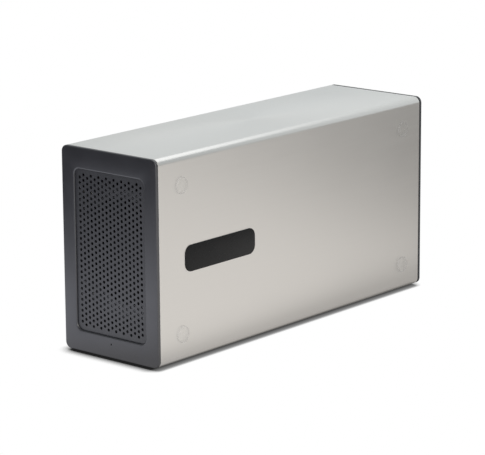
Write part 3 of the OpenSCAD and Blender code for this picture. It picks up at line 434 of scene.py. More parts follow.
def bumped(tree, shader, height, strength, depth):
    """Relief from a height, with its depth in mm."""
    node = tree.nodes.new("ShaderNodeBump")
    node.inputs["Strength"].default_value = strength
    node.inputs["Distance"].default_value = depth * MM
    tree.links.new(height, node.inputs["Height"])
    tree.links.new(node.outputs["Normal"], shader.inputs["Normal"])


# Materials

NOISE_SPAN = (0.3, 0.7)
FULL_SPAN = (0, 1)


def brushed(name, colour, rough, along, streak=0.035, bump=0.12):
    """Metal ground along one axis: long fine streaks in tone, roughness and height."""
    line_scale, band_scale, cloud_scale = 1600, 260, 14.0
    band_share, cloud_share, tone_span = 0.45, 0.5, (0.6, 1.35)
    look, tree, shader = new_look(name, colour, rough, 1.0)
    lines = noise(tree, coords(tree, stretched(line_scale, along)), 1.0, detail=4, rough=0.62)
    bands = noise(tree, coords(tree, stretched(band_scale, along)), 1.0)
    cloud = noise(tree, coords(tree), cloud_scale)
    mixture = sum_of(tree, sum_of(tree, lines, bands, band_share), cloud, cloud_share)
    tone = between(tree, mixture, *tone_span)
    tinted(tree, shader, tone, colour, dark=1 - streak, light=1 + streak)
    roughened(tree, shader, tone, FULL_SPAN, rough - 0.05, rough + 0.06)
    shader.inputs["Anisotropic"].default_value = 0.35
    bumped(tree, shader, lines, bump, depth=0.02)
    return look


def moulded(name, colour, rough, grain=5200.0, bump=0.16, tone=0.1, ior=1.5):
    """Plastic, paint or resin with a fine spark-eroded or orange-peel surface."""
    cloud_scale, cloud_share, pit_share, rough_span = 55.0, 0.7, 0.3, (0.4, 1.1)
    look, tree, shader = new_look(name, colour, rough, ior=ior)
    pits = noise(tree, coords(tree), grain)
    cloud = noise(tree, coords(tree), cloud_scale, detail=3)
    mixture = sum_of(tree, between(tree, cloud, *NOISE_SPAN, 0, cloud_share), pits, pit_share)
    tinted(tree, shader, mixture, colour, dark=1 - tone, light=1 + tone)
    roughened(tree, shader, sum_of(tree, cloud, pits, 0.5), rough_span, rough - 0.05, rough + 0.06)
    bumped(tree, shader, pits, bump, depth=0.03)
    return look


def spangled(name, colour, rough):
    """Zinc-coated sheet: broad crystals of slightly different tone and gloss."""
    crystal_scale, grain_scale, tone_span = 190.0, (900, 60, 900), (0.2, 0.95)
    look, tree, shader = new_look(name, colour, rough, 1.0)
    grain = noise(tree, coords(tree, grain_scale), 1.0, detail=3)
    mixture = sum_of(tree, cells(tree, coords(tree), crystal_scale), grain, 0.5)
    tone = between(tree, mixture, *tone_span)
    tinted(tree, shader, tone, colour, dark=0.9, light=1.08)
    roughened(tree, shader, tone, FULL_SPAN, rough - 0.08, rough + 0.1)
    bumped(tree, shader, grain, 0.1, depth=0.02)
    return look


def plated(name, colour, rough, scale=700.0):
    """Small turned or stamped metal with a light tumbled finish."""
    look, tree, shader = new_look(name, colour, rough, 1.0)
    grain = noise(tree, coords(tree), scale, detail=4)
    tinted(tree, shader, grain, colour, dark=0.88, light=1.1)
    roughened(tree, shader, grain, NOISE_SPAN, rough - 0.07, rough + 0.09)
    bumped(tree, shader, grain, 0.08, depth=0.02)
    return look


def see_through(name, colour, rough, alpha):
    """Thin clear elastomer or resin: what is behind it shows, under a soft gloss and faint haze."""
    haze_scale = 900.0
    look, tree, shader = new_look(name, colour, rough, ior=1.45)
    shader.inputs["Alpha"].default_value = alpha
    haze = noise(tree, coords(tree), haze_scale)
    roughened(tree, shader, haze, NOISE_SPAN, rough * 0.6, rough * 1.4)
    tinted(tree, shader, haze, colour, dark=0.94, light=1)
    bumped(tree, shader, haze, 0.05, depth=0.03)
    return look


def lacquered(name, colour, rough, ior):
    """Lacquered label: deep colour, very slight waviness."""
    wave_scale, dust_scale = 120.0, 2600.0
    look, tree, shader = new_look(name, colour, rough, ior=ior)
    wave = noise(tree, coords(tree), wave_scale)
    dust = noise(tree, coords(tree), dust_scale, detail=1)
    tinted(tree, shader, dust, colour, dark=0.8, light=1.2)
    roughened(tree, shader, wave, NOISE_SPAN, rough * 0.7, rough * 1.3)
    bumped(tree, shader, wave, 0.05, depth=0.05)
    return look


def laminate(name, mask, track, pad):
    """Circuit board: solder mask with bundles of tracks under it, and plated holes."""
    track_pitch, line_span, area_scale = 1.1 * MM, (0.35, 0.5), 42.0
    hole_scale, hole_edge, fine_scale = 210.0, (0.085, 0.07), 2400.0
    areas = {"X": (0.53, 0.56), "Y": (0.47, 0.44), "Z": (0.47, 0.44)}
    look, tree, shader = new_look(name, mask, 0.38)
    vector = coords(tree)
    split = tree.nodes.new("ShaderNodeSeparateXYZ")
    tree.links.new(vector, split.inputs[0])
    where = noise(tree, vector, area_scale, detail=1)
    tracks = None
    for axis, area in areas.items():
        wave = computed(tree, "SINE", product(tree, split.outputs[axis], 2 * math.pi / track_pitch))
        lines = product(tree, between(tree, wave, *line_span), between(tree, where, *area))
        tracks = lines if tracks is None else sum_of(tree, tracks, lines)
    rings = between(tree, cells(tree, vector, hole_scale), *hole_edge)
    fine = noise(tree, vector, fine_scale)
    ground = mixed(tree, fine, shade(mask, 0.85), shade(mask, 1.15))
    base = mixed(tree, between(tree, tracks, *FULL_SPAN), ground, track)
    tree.links.new(mixed(tree, rings, base, pad), shader.inputs["Base Color"])
    roughened(tree, shader, fine, NOISE_SPAN, 0.3, 0.46)
    bumped(tree, shader, sum_of(tree, tracks, rings), 0.2, depth=0.04)
    return look


def wound(name, colour, rough):
    """Enamelled wire laid side by side, darker between the turns and lighter on them: painted shade
    and painted light.
    """
    look, tree, shader = new_look(name, colour, rough, 1.0)
    turns = waves(tree, coords(tree), 420.0, "Y", distortion=0.4)
    # Painted shade in the grooves between turns and painted light on their crests
    tinted(tree, shader, turns, colour, dark=0.55, light=1.1)
    bumped(tree, shader, turns, 0.6, depth=0.2)
    return look


def braided(name, colour, rough):
    """Woven sleeve over a bundle of wires, darker where strands dip under and lighter where they
    cross over: painted shade and painted sheen.
    """
    look, tree, shader = new_look(name, colour, rough)
    weave = product(tree, *(waves(tree, coords(tree, (1, sign, 1)), 300.0, "DIAGONAL")
                            for sign in (1, -1)))
    # Painted shade in the weave's hollows and painted sheen on the crossing strands
    tinted(tree, shader, weave, colour, dark=0.6, light=2.4)
    roughened(tree, shader, weave, FULL_SPAN, rough + 0.1, rough - 0.05)
    bumped(tree, shader, weave, 0.5, depth=0.15)
    return look


looks = {
    "sleeve_paint": brushed("brushed_sleeve_steel", (0.87, 0.85, 0.82), 0.36, along=1,
                            streak=0.014, bump=0.04),
    "bezel_plastic": moulded("anthracite_plastic", (0.0135, 0.0135, 0.019), 0.32, ior=2.1,
                             bump=0.12),
    "grille_paint": moulded("anthracite_powder_coat", (0.018, 0.018, 0.024), 0.42, grain=3400,
                            bump=0.22, ior=2.0),
    "panel_paint": moulded("graphite_powder_coat", (0.045, 0.046, 0.05), 0.5, grain=2600, bump=0.3),
    "zinc_sheet": spangled("zinc_sheet", (0.6, 0.61, 0.62), 0.36),
    "nickel": plated("nickel_plating", (0.62, 0.6, 0.56), 0.24),
    "thumb_metal": plated("satin_nickel", (0.58, 0.57, 0.55), 0.3, 1200),
    "cover_steel": brushed("brushed_cover_steel", (0.64, 0.64, 0.63), 0.3, along=2),
    "port_shell": plated("bright_stainless_steel", (0.66, 0.66, 0.66), 0.2),
    "clear_bumper": see_through("clear_elastomer", (0.8, 0.8, 0.79), 0.16, 0.012),
    "badge_gloss": lacquered("black_label_lacquer", (0.009, 0.009, 0.0095), 0.24, 1.3),
    # A nearly black light pipe, so that the status light's hole reads dark: painted shade in the
    # hole
    "clear_plastic": see_through("light_pipe_dark_for_painted_shade", (0.05, 0.05, 0.055), 0.12, 0.75),
    "board_laminate": laminate("circuit_board", mask=(0.008, 0.045, 0.026),
                               track=(0.016, 0.085, 0.048), pad=(0.55, 0.5, 0.36)),
    "connector_black": moulded("black_connector_nylon", (0.016, 0.016, 0.018), 0.45, grain=1800),
    "fan_plastic": moulded("black_fan_plastic", (0.013, 0.013, 0.015), 0.5, grain=2600),
    "ivory_plastic": moulded("ivory_nylon", (0.68, 0.62, 0.5), 0.42, grain=1500, tone=0.05),
    "brass_turned": plated("turned_brass", (0.62, 0.46, 0.2), 0.25, 900),
    "copper_winding": wound("enamelled_copper", (0.6, 0.26, 0.12), 0.32),
    "sink_aluminium": brushed("extruded_aluminium", (0.58, 0.59, 0.6), 0.32, along=1),
    "chip_epoxy": moulded("chip_epoxy", (0.03, 0.03, 0.032), 0.48, grain=2200, tone=0.15),
    "lead_jacket": braided("braided_sleeving", (0.012, 0.012, 0.013), 0.5),
}
# The pads' rims: a darker, more opaque copy of the clear elastomer, painted shade along the edge of
# each clear dome
shaded_clear_rim = see_through("clear_elastomer_painted_shade_rim", (0.5, 0.5, 0.49), 0.16, 0.2)
gold = plated("contact_gold", (0.75, 0.56, 0.23), 0.22, 1500)
tin = plated("solder_tin", (0.62, 0.62, 0.61), 0.3, 1500)
ceramic = moulded("tan_ceramic", (0.4, 0.25, 0.13), 0.45, grain=1800, tone=0.12)
resistor_black = moulded("resistor_glaze", (0.02, 0.02, 0.022), 0.25, grain=900)
can_sleeve = moulded("capacitor_sleeve", (0.02, 0.022, 0.03), 0.28, grain=700)

SLOT = {sub["node"]: sub["material_slot"] for sub in frame["record"]["subparts"]}
BODY = {node: body for body, nodes in frame["record"]["behaviour"]["bodies"].items()
        for node in nodes}


# The solids

def dress_solids():
    """Every solid that stays gets its finish's material."""
    for node, obj in frame["nodes"].items():
        obj.data.materials.clear()
        obj.data.materials.append(looks[SLOT[node]])


def islands(node):
    """Corners (lowest, highest) of each separate solid in a node, in order along X, Y and Z."""
    mesh = frame["nodes"][node].data
    parent = {}

    def root(k):
        while parent[k] != k:
            parent[k] = parent[parent[k]]
            k = parent[k]
        return k

    keys = [tuple(round(c * 1e6) for c in v.co) for v in mesh.vertices]
    for k in keys:
        parent.setdefault(k, k)
    for polygon in mesh.polygons:
        first = root(keys[polygon.vertices[0]])
        for i in polygon.vertices[1:]:
            parent[root(keys[i])] = first
    groups = {}
    for k in parent:
        groups.setdefault(root(k), []).append(k)
    boxes = [(Vector([min(p[i] for p in g) * 1e-6 for i in range(3)]),
              Vector([max(p[i] for p in g) * 1e-6 for i in range(3)])) for g in groups.values()]
    return sorted(boxes, key=lambda b: tuple(round(c, 5) for c in b[0]))


# Pieces of the shell

def case_loop(inset, y):
    """The case's outline, drawn in by an inset, at a distance behind the bezel's face."""
    return (CASE_W - 2 * inset, CASE_H - 2 * inset, max(CORNER_R - inset, LEAST_R), y)


def window_loop(grow, r, y):
    """The window's outline, widened all round."""
    return (CASE_W - 2 * RIM_SIDE + 2 * grow, CASE_H - 2 * RIM_END + 2 * grow, r, y)


def sleeve():
    """The four-sided sleeve, with the cut edges of its two ends eased."""
    near, far = sleeve_lo.y - CASE_Y, sleeve_hi.y - CASE_Y
    edge = quarter(CUT_EDGE_R, SMALL_EDGE_STEPS)
    loops = [case_loop(inset, near + depth) for inset, depth in edge]
    loops += [case_loop(SLEEVE_T - inset, near + depth) for inset, depth in reversed(edge)]
    loops += [case_loop(SLEEVE_T - inset, far - depth) for inset, depth in edge]
    loops += [case_loop(inset, far - depth) for inset, depth in reversed(edge)]
    bm = bmesh.new()
    ring_loft(bm, loops)
    piece("sleeve", bm, "shell", ["outer_sleeve"])


def bezel_profile():
    """Loops of the bezel from its plug round the face and the window back to the plug."""
    plug = SLEEVE_T + PLUG_SLIP
    rebate, rebate_r = GRILLE_LAP + PLUG_SLIP, GRILLE_R + PLUG_SLIP
    grille_back = RECESS_D + GRILLE_T
    loops = [case_loop(plug, BEZEL_DEPTH), case_loop(plug, BEZEL_PROUD), case_loop(0, BEZEL_PROUD)]
    loops += [case_loop(inset, depth) for inset, depth in quarter(EDGE_R)]
    loops += [window_loop(inset, WINDOW_R + inset, depth)
              for inset, depth in reversed(quarter(WINDOW_EDGE_R))]
    loops += [window_loop(0, WINDOW_R, RECESS_D), window_loop(rebate, rebate_r, RECESS_D),
              window_loop(rebate, rebate_r, grille_back),
              case_loop(plug + BEZEL_WALL, grille_back), case_loop(plug + BEZEL_WALL, BEZEL_DEPTH)]
    return loops


def bezel():
    """The moulded front frame, bored for the status light."""
    bm = bmesh.new()
    ring_loft(bm, bezel_profile())
    obj = piece("bezel", bm, "shell", ["front_bezel"])
    hole = bmesh.new()
    spot = Matrix.Translation((CASE_X, CASE_Y - BEZEL_PROUD, CASE_Z + LED_H))
    lathe(hole, [(0, 0), (LED_R, 0), (LED_R, BEZEL_DEPTH), (0, BEZEL_DEPTH)], HOLE_ROUND,
          spot @ TURN["Y"])
    cut_out(obj, hole)


def badge():
    """Label plate with rounded corners and an eased outer edge."""
    lo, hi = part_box("badge_plate")
    rings = [(0, lo.x)] + [(inset, hi.x - depth)
                           for inset, depth in quarter(BADGE_EDGE, SMALL_EDGE_STEPS)]
    bm = bmesh.new()
    loops = [[bm.verts.new((x, (lo.y + hi.y) / 2 + u, (lo.z + hi.z) / 2 + v))
              for u, v in outline(hi.y - lo.y - 2 * inset, hi.z - lo.z - 2 * inset,
                                  BADGE_R - inset)]
             for inset, x in rings]
    for a, b in zip(loops, loops[1:]):
        band(bm, a, b)
    bm.faces.new(loops[0])
    bm.faces.new(loops[-1])
    piece("badge", bm, "shell", ["badge_plate"])


def pad_profile(r, h):
    """Clear pad: a crisp foot, a rounded shoulder and a slightly hollow crown."""
    shoulder = h * PAD_SHOULDER
    points = [(0, PAD_LIFT), (r - PAD_EASE, PAD_LIFT), (r, PAD_EASE), (r, h - shoulder)]
    points += [(r - shoulder + shoulder * math.cos(a), h - shoulder + shoulder * math.sin(a))
               for a in arc(SHOULDER_STEPS)]
    return points + [(r * share, h - depth * MM) for share, depth in PAD_HOLLOW]


def pads(name, node, axis):
    """Clear pads of one node, which stand out of the case along an axis, their rims darker and more
    opaque as painted shade along each pad's edge.
    """
    along = "XYZ".index(axis[-1])
    bm = bmesh.new()
    for lo, hi in islands(node):
        size = hi - lo
        foot = (lo + hi) / 2
        foot[along] = (hi if axis[0] == "-" else lo)[along]
        lathe(bm, pad_profile(max(size) / 2, min(size)), PAD_ROUND,
              Matrix.Translation(foot) @ TURN[axis])
    obj = piece(name, bm, "shell", [node])
    # Rim faces take the darker copy: painted shade along the pad's edge
    obj.data.materials.append(shaded_clear_rim)
    for polygon in obj.data.polygons:
        polygon.material_index = 1 if abs(polygon.normal[along]) < PAD_CROWN else 0


# Pieces of the tray and the fan

def screw_profile(shank_r, shank_l, head_r, head_t):
    """Pan head with a rounded rim on a threaded shank, head up."""
    root_r = shank_r - THREAD_DEPTH
    points = [(0, 0), (shank_r - THREAD_DEPTH * 2, 0)]
    turns = int(shank_l / THREAD_PITCH)
    for k in range(turns):
        base = shank_l * k / turns
        points += [(root_r, base + THREAD_LEAD), (shank_r, base + shank_l / turns / 2)]
    points += [(root_r, shank_l), (head_r, shank_l), (head_r, shank_l + head_t * HEAD_WALL)]
    points += [(head_r * (1 - HEAD_EASE + HEAD_EASE * math.cos(a)),
                shank_l + head_t * (HEAD_WALL + (1 - HEAD_WALL) * math.sin(a))) for a in arc()]
    return points + [(0, shank_l + head_t)]


def screws(node, axis, shank_r, shank_l):
    """Cross-head screws in place of a node's plain ones, with their heads along an axis."""
    along = "XYZ".index(axis)
    bm = bmesh.new()
    grooves = (bmesh.new(), bmesh.new())
    for lo, hi in islands(node):
        size = hi - lo
        head_r = size[(along + 1) % 3] / 2
        head_t = size[along] - shank_l
        tip = (lo + hi) / 2
        tip[along] = lo[along]
        spot = Matrix.Translation(tip) @ TURN[axis]
        lathe(bm, screw_profile(shank_r, shank_l, head_r, head_t), SMALL_ROUND, spot)
        top = spot @ Matrix.Translation((0, 0, shank_l + head_t))
        for groove, (w, d, deep) in zip(grooves, CROSS):
            cube(groove, top, (head_r * w, head_r * d, 2 * head_t * deep))
    obj = piece(node + "_cross", bm, BODY[node], [node])
    for groove in grooves:
        cut_out(obj, groove)


def blade(bm, axis, root_r, tip_r, start):
    """One swept, twisted blade: thick in the middle of its chord and thin at its edges."""
    sides = []
    for face in (1, -1):
        rows = []
        for i in range(BLADE_SPANS + 1):
            r = root_r + (tip_r - root_r) * i / BLADE_SPANS
            row = []
            for j in range(BLADE_CHORDS + 1):
                s = j / BLADE_CHORDS
                half = BLADE_W / 2 * math.sqrt(max(0.0, 1 - (2 * s - 1) ** 2)) ** BLADE_FULLNESS
                lift = face * half
                angle = start - BLADE_TWIST * s + lift * BLADE_LEAN[0] / r
                height = (HUB_D - BLADE_D) / 2 + BLADE_D * s + lift * BLADE_LEAN[1]
                spot = Vector((r * math.cos(angle), r * math.sin(angle), height))
                row.append(bm.verts.new(axis @ spot))
            rows.append(row)
        sides.append(rows)
        for a, b in zip(rows, rows[1:]):
            for j in range(BLADE_CHORDS):
                bm.faces.new((a[j], a[j + 1], b[j + 1], b[j]))
    upper, lower = sides
    for end in (0, BLADE_SPANS):
        bm.faces.new(upper[end] + lower[end][::-1])
    for j in (0, BLADE_CHORDS):
        for i in range(BLADE_SPANS):
            bm.faces.new((upper[i][j], upper[i + 1][j], lower[i + 1][j], lower[i][j]))


def rotor():
    """Cup hub with an eased rim, its shaft, and seven swept blades."""
    lo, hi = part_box("fan_rotor")
    axis = Matrix.Translation(((lo.x + hi.x) / 2, lo.y, (lo.z + hi.z) / 2)) @ TURN["Y"]
    inner, shaft_l = HUB_R - HUB_WALL, hi.y - lo.y
    profile = [*HUB_DIMPLE, (HUB_R - HUB_EASE, 0)]
    profile += [(HUB_R - HUB_EASE + HUB_EASE * math.sin(a), HUB_EASE * (1 - math.cos(a)))
                for a in arc()]
    profile += [(HUB_R, HUB_D), (inner, HUB_D), (inner, HUB_WALL), (SHAFT_R, HUB_WALL),
                (SHAFT_R, shaft_l), (0, shaft_l)]
    bm = bmesh.new()
    lathe(bm, profile, HUB_ROUND, axis)
    for k in range(BLADE_COUNT):
        blade(bm, axis, inner + BLADE_ROOT, (hi.x - lo.x) / 2, 2 * math.pi * k / BLADE_COUNT)
    bmesh.ops.remove_doubles(bm, verts=bm.verts, dist=WELD)
    piece("swept_rotor", bm, "fan_rotor", ["fan_rotor"])


def slot_contacts(node):
    """Two rows of gilded spring contacts along a card slot's groove."""
    apart, half_w, half_l = 0.95 * MM, 0.2 * MM, 0.3 * MM
    lo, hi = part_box(node)
    x = (lo.x + hi.x) / 2
    foot, top = hi.z - 5.5 * MM, hi.z - 0.5 * MM
    bm = bmesh.new()
    y = hi.y - SLOT_END
    while y > lo.y + SLOT_END + LATCH_REACH:
        if not KEY_FROM < hi.y - y < KEY_TO:
            for side in (-1, 1):
                at = x + side * apart
                cuboid(bm, Vector((at - half_w, y - half_l, foot)),
                       Vector((at + half_w, y + half_l, top)))
        y -= CONTACT_PITCH
    piece(node + "_contacts", bm, "tray", finish="brass_turned", look=gold)


def chip_legs(node, sides, pitch, count):
    """Bent tin legs round each chip of a node: shoulder, shank and toe."""
    thick, bite, out, toe = 0.14 * MM, 0.1 * MM, 0.5 * MM, 1 * MM
    half = pitch * 0.2
    bm = bmesh.new()
    for lo, hi in islands(node):
        middle = (lo + hi) / 2
        top = lo.z + (hi.z - lo.z) * 0.55 + thick / 2
        bends = ((-bite, out, top - thick, top), (out - thick, out, lo.z, top),
                 (out - thick, toe, lo.z, lo.z + thick))
        for axis in sides:
            across = 1 - axis
            for side in (-1, 1):
                edge = (hi if side > 0 else lo)[axis]
                for k in range(count):
                    at = middle[across] + (k - (count - 1) / 2) * pitch
                    for near, far, low, high in bends:
                        a, b = Vector((0, 0, low)), Vector((0, 0, high))
                        a[axis], b[axis] = sorted((edge + side * near, edge + side * far))
                        a[across], b[across] = at - half, at + half
                        cuboid(bm, a, b)
    piece(node + "_legs", bm, "tray", finish="nickel", look=tin)


def capacitor_cans():
    """Cans with a rolled groove, a dark sleeve and a scored metal top."""
    sleeves, tops, scores = bmesh.new(), bmesh.new(), bmesh.new()
    for lo, hi in islands("capacitors"):
        r = (hi.x - lo.x) / 2
        h = hi.z - lo.z
        spot = Matrix.Translation(((lo.x + hi.x) / 2, (lo.y + hi.y) / 2, lo.z))
        foot = [(r - inset * MM, height * MM) for inset, height in CAN_FOOT]
        brow = [(r - inset * MM, h - depth * MM) for inset, depth in CAN_BROW]
        lid = [(r - inset * MM, h - depth * MM) for inset, depth in CAN_TOP]
        lathe(sleeves, [(0, 0), *foot, *brow, (0, brow[-1][1])], CAN_ROUND, spot)
        lathe(tops, [(0, lid[0][1]), *lid, (0, h - CAN_CROWN)], CAN_ROUND, spot)
        for w, d in ((SCORE_L * r, SCORE_W), (SCORE_W, SCORE_L * r)):
            cube(scores, spot @ Matrix.Translation((0, 0, h)), (w, d, SCORE_W))
    piece("can_sleeves", sleeves, "tray", ["capacitors"], look=can_sleeve)
    cut_out(piece("can_tops", tops, "tray", finish="sink_aluminium"), scores)


def coil_tops():
    """Tinned leads that show at both ends of each moulded coil, and its stepped lid."""
    half_w, out, tall = 1.6 * MM, 0.25 * MM, 2.4 * MM
    inset, sunk, proud, ease = 0.7 * MM, 0.1 * MM, 0.25 * MM, 0.12 * MM
    leads, lids = bmesh.new(), bmesh.new()
    for lo, hi in islands("power_coils"):
        x = ((lo + hi) / 2).x
        for near, far in ((lo.y - out, lo.y), (hi.y, hi.y + out)):
            cuboid(leads, Vector((x - half_w, near, lo.z)), Vector((x + half_w, far, lo.z + tall)))
        cuboid(lids, Vector((lo.x + inset, lo.y + inset, hi.z - sunk)),
               Vector((hi.x - inset, hi.y - inset, hi.z + proud)), ease)
    piece("coil_leads", leads, "tray", finish="nickel", look=tin)
    piece("coil_lids", lids, "tray", finish="chip_epoxy")


def port_contacts(node, size):
    """Gilded strips on both faces of a port's tongue."""
    lo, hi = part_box(node)
    x, z = (lo.x + hi.x) / 2, (lo.z + hi.z) / 2
    half_t, half_w = size["tongue_t"] / 2, size["pitch"] * 0.3
    bm = bmesh.new()
    for side in (-1, 1):
        inner, outer = sorted((x + side * (half_t - STRIP_SUNK), x + side * (half_t + STRIP_PROUD)))
        for k in range(size["strips"]):
            at = z + (k - (size["strips"] - 1) / 2) * size["pitch"]
            cuboid(bm, Vector((inner, hi.y - size["reach"], at - half_w)),
                   Vector((outer, hi.y - STRIP_FROM, at + half_w)))
    piece(node + "_strips", bm, "tray", finish="brass_turned", look=gold)


def port_insert(node, size):
    """Black moulding at the bottom of a port's shell, with the tongue that carries its strips."""
    lo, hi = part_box(node)
    wall, lock = size["wall"], size["lock"]
    x, z = (lo.x + hi.x) / 2, (lo.z + hi.z + lock) / 2
    w, h = hi.x - lo.x - 2 * wall, hi.z - lo.z - 2 * wall - lock
    face = hi.y - size["mouth"]
    bm = bmesh.new()
    back, front = ([bm.verts.new((x + u, y, z + v)) for u, v in outline(w, h, size["corner"])]
                   for y in (lo.y + wall, face))
    band(bm, back, front)
    bm.faces.new(back)
    bm.faces.new(front)
    half_t = size["tongue_t"] / 2 + TONGUE_SKIN
    half_w = size["tongue_w"] / 2 + TONGUE_SKIN
    middle = (lo.z + hi.z) / 2
    cuboid(bm, Vector((x - half_t, face - TONGUE_ROOT, middle - half_w)),
           Vector((x + half_t, hi.y - TONGUE_FROM, middle + half_w)))
    piece(node + "_insert", bm, "tray", finish="connector_black")


def jack_pin():
    """Plated sleeve over the power inlet's centre pin, with a rounded nose."""
    profile = [(0, 0), (PIN_R, 0), (PIN_R, PIN_L)]
    profile += [(PIN_R * math.cos(a), PIN_L + PIN_NOSE * math.sin(a)) for a in arc()[:-1]]
    profile.append((0, PIN_L + PIN_NOSE))
    foot = (CASE_X + JACK_X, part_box("dc_jack")[1].y - JACK_DEPTH, CASE_Z + JACK_Z)
    bm = bmesh.new()
    lathe(bm, profile, SMALL_ROUND, Matrix.Translation(foot) @ TURN["Y"])
    piece("jack_pin", bm, "tray", finish="nickel")


def small_parts(board, axes, blocked, tries, seed):
    """Resistors and capacitors in rows, soldered where the board's face has room for them."""
    rng = random.Random(seed)
    lo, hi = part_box(board)
    u_axis, v_axis, w_axis = axes
    top = hi[w_axis]
    taken = [(a[u_axis] - PART_MARGIN, a[v_axis] - PART_MARGIN,
              b[u_axis] + PART_MARGIN, b[v_axis] + PART_MARGIN)
             for node in blocked for a, b in islands(node) if a[w_axis] < top + HEAD_ROOM]
    bodies = {"ceramic": bmesh.new(), "resistor": bmesh.new()}
    ends = bmesh.new()

    def block(bm, spot, size, base, rise, ease=0.0):
        """Box about a spot of the board's face, with its sizes in mm."""
        a, b = Vector(), Vector()
        for axis, at, width in zip((u_axis, v_axis), spot, size):
            a[axis], b[axis] = at - width * MM / 2, at + width * MM / 2
        a[w_axis], b[w_axis] = top + base * MM, top + rise * MM
        cuboid(bm, a, b, ease)

    for _ in range(tries):
        long, wide, rise, kind = rng.choice(SMALL_PARTS)
        turned = rng.random() < 0.5
        rows = rng.choice(ROW_COUNTS)

        def laid(lengthwise, crosswise):
            return (crosswise, lengthwise) if turned else (lengthwise, crosswise)

        du, dv = laid(long, wide)
        step_u, step_v = laid(0, wide + ROW_GAP)
        total_u, total_v = du + (rows - 1) * step_u, dv + (rows - 1) * step_v
        u = rng.uniform(lo[u_axis] + BOARD_MARGIN, hi[u_axis] - BOARD_MARGIN - total_u * MM)
        v = rng.uniform(lo[v_axis] + BOARD_MARGIN, hi[v_axis] - BOARD_MARGIN - total_v * MM)
        box = (u - PART_MARGIN, v - PART_MARGIN, u + (total_u + 1) * MM, v + (total_v + 1) * MM)
        if any(box[0] < t[2] and box[2] > t[0] and box[1] < t[3] and box[3] > t[1] for t in taken):
            continue
        taken.append(box)
        for k in range(rows):
            cu, cv = u + (du / 2 + k * step_u) * MM, v + (dv / 2 + k * step_v) * MM
            block(bodies[kind], (cu, cv), laid(long * BODY_SHARE[0], wide * BODY_SHARE[1]),
                  0, rise * BODY_SHARE[2])
            for side in (-1, 1):
                shift_u, shift_v = laid(side * long * MM * END_SHIFT, 0)
                block(ends, (cu + shift_u, cv + shift_v), laid(long * END_SHARE, wide),
                      -END_SUNK, rise, END_EASE)
    piece(board + "_ceramics", bodies["ceramic"], "tray", finish="chip_epoxy", look=ceramic)
    piece(board + "_resistors", bodies["resistor"], "tray", finish="chip_epoxy",
          look=resistor_black)
    piece(board + "_solder_ends", ends, "tray", finish="nickel", look=tin)


dress_solids()
sleeve()
bezel()
badge()
pads("clear_bumpers", "side_bumpers", "X")
pads("clear_feet", "bottom_feet", "-Z")
rotor()
screws("board_screws", "Z", shank_r=1.5 * MM, shank_l=5 * MM)
screws("host_screws", "X", shank_r=1.25 * MM, shank_l=2.6 * MM)
screws("slot_cover_screws", "Z", shank_r=1.45 * MM, shank_l=5 * MM)
for slot_node in ("card_slot_a", "card_slot_b"):
    slot_contacts(slot_node)
chip_legs("small_chips", sides=(0,), pitch=1.27 * MM, count=4)
chip_legs("bridge_chip", sides=(0, 1), pitch=0.8 * MM, count=16)
capacitor_cans()
coil_tops()
for port_node, port_size in PORTS.items():
    port_contacts(port_node, port_size)
for port_node, port_size in PORTS.items():
    port_insert(port_node, port_size)
jack_pin()
small_parts("main_board", axes=(0, 1, 2), tries=260, seed=7,
            blocked=("card_slot_a", "card_slot_b", "slot_latch_a", "slot_latch_b", "bridge_chip",
                     "power_coils", "capacitors", "small_chips", "fan_header", "led_header",
                     "host_socket", "board_screws"))
small_parts("host_board", axes=(1, 2, 0), tries=160, seed=11,
            blocked=("controller_chip", "heat_sink", "usb_c_port_a", "usb_c_port_b",
                     "display_port", "dc_jack", "host_screws"))


# Stage, world and lights. Places and reaches are in metres in the row frame.

FLOOR_SIZE = 12.0
FLOOR_ALBEDO = 0.8
FLOOR_WARM = (1.0, 0.975, 0.945)
FLOOR_COOL = (0.9, 0.915, 1.0)
WHITE = (1, 1, 1)
RIGHT = (1, 0, 0)
AHEAD = (-0.65, -0.76, 0)
COOL_REACH = (0.05, 0.2)
# Contact shadow, dark at the front and short and light along the right side
SIDE_FROM = (0.035, 0.05)
SHADOW_REACH = 0.0105
SIDE_SHADOW_REACH = 0.0014
REFLECTED_REACH = 0.005
SHADOW_RAMP = (0.42, 0.93)
SHADOW_FLOOR = 0.015
SIDE_SHADOW_FLOOR = 0.55
SHADOW_SAMPLES = 16
# How bright reflections show the floor, a painted fall-off of light: direction, from and to along
# it, and the level at each
FLOOR_LEVELS = (
    (AHEAD, (0.30, 0.60), (1.0, 0.08)),
    ((1, -0.8, 0), (-0.25, 0.12), (0.76, 1.0)),
    ((0, 1, 0), (0.22, 0.6), (1.0, 0.5)),
)
# Painted shade of the case on the floor in reflections: close before it, and on the floor to its
# right
FOOT_REACH = (0.12, 0.22)
FOOT_LEVEL = 0.53
SIDE_REACH = (0.03, 0.09)
SIDE_LEVEL = 0.77
# World
AMBIENT = 0.5
SKY_DARK = 0.14
SKY_BRIGHT = 0.775
SKY_TOWARD = (-0.12, 1.0, 0.0)
SKY_REACH = (-0.1, 0.85)
SKY_COOL = (0.93, 0.98, 1.0)
# Lights: place, target, width and height, watts, colour
SOFTBOXES = {
    "top_softbox": ((0.0, 0.2, 1.3), (0, 0, 0.1), (1.5, 1.5), 4.5, (0.97, 0.985, 1.0)),
    "right_softbox": ((0.9, -0.75, 0.55), (0.02, -0.1, 0.08), (0.6, 0.6), 5.0, (1.0, 0.98, 0.95)),
    "left_softbox": ((-0.8, -0.7, 0.4), (0, -0.1, 0.08), (0.5, 0.5), 0.2, WHITE),
}


def seen_by(tree):
    """1 for rays that show the background (camera, glossy, transmission), and the camera's own."""
    rays = tree.nodes.new("ShaderNodeLightPath").outputs
    shown = computed(tree, "MAXIMUM", rays["Is Camera Ray"], rays["Is Glossy Ray"])
    shown = computed(tree, "MAXIMUM", shown, rays["Is Transmission Ray"])
    return shown, rays["Is Camera Ray"]


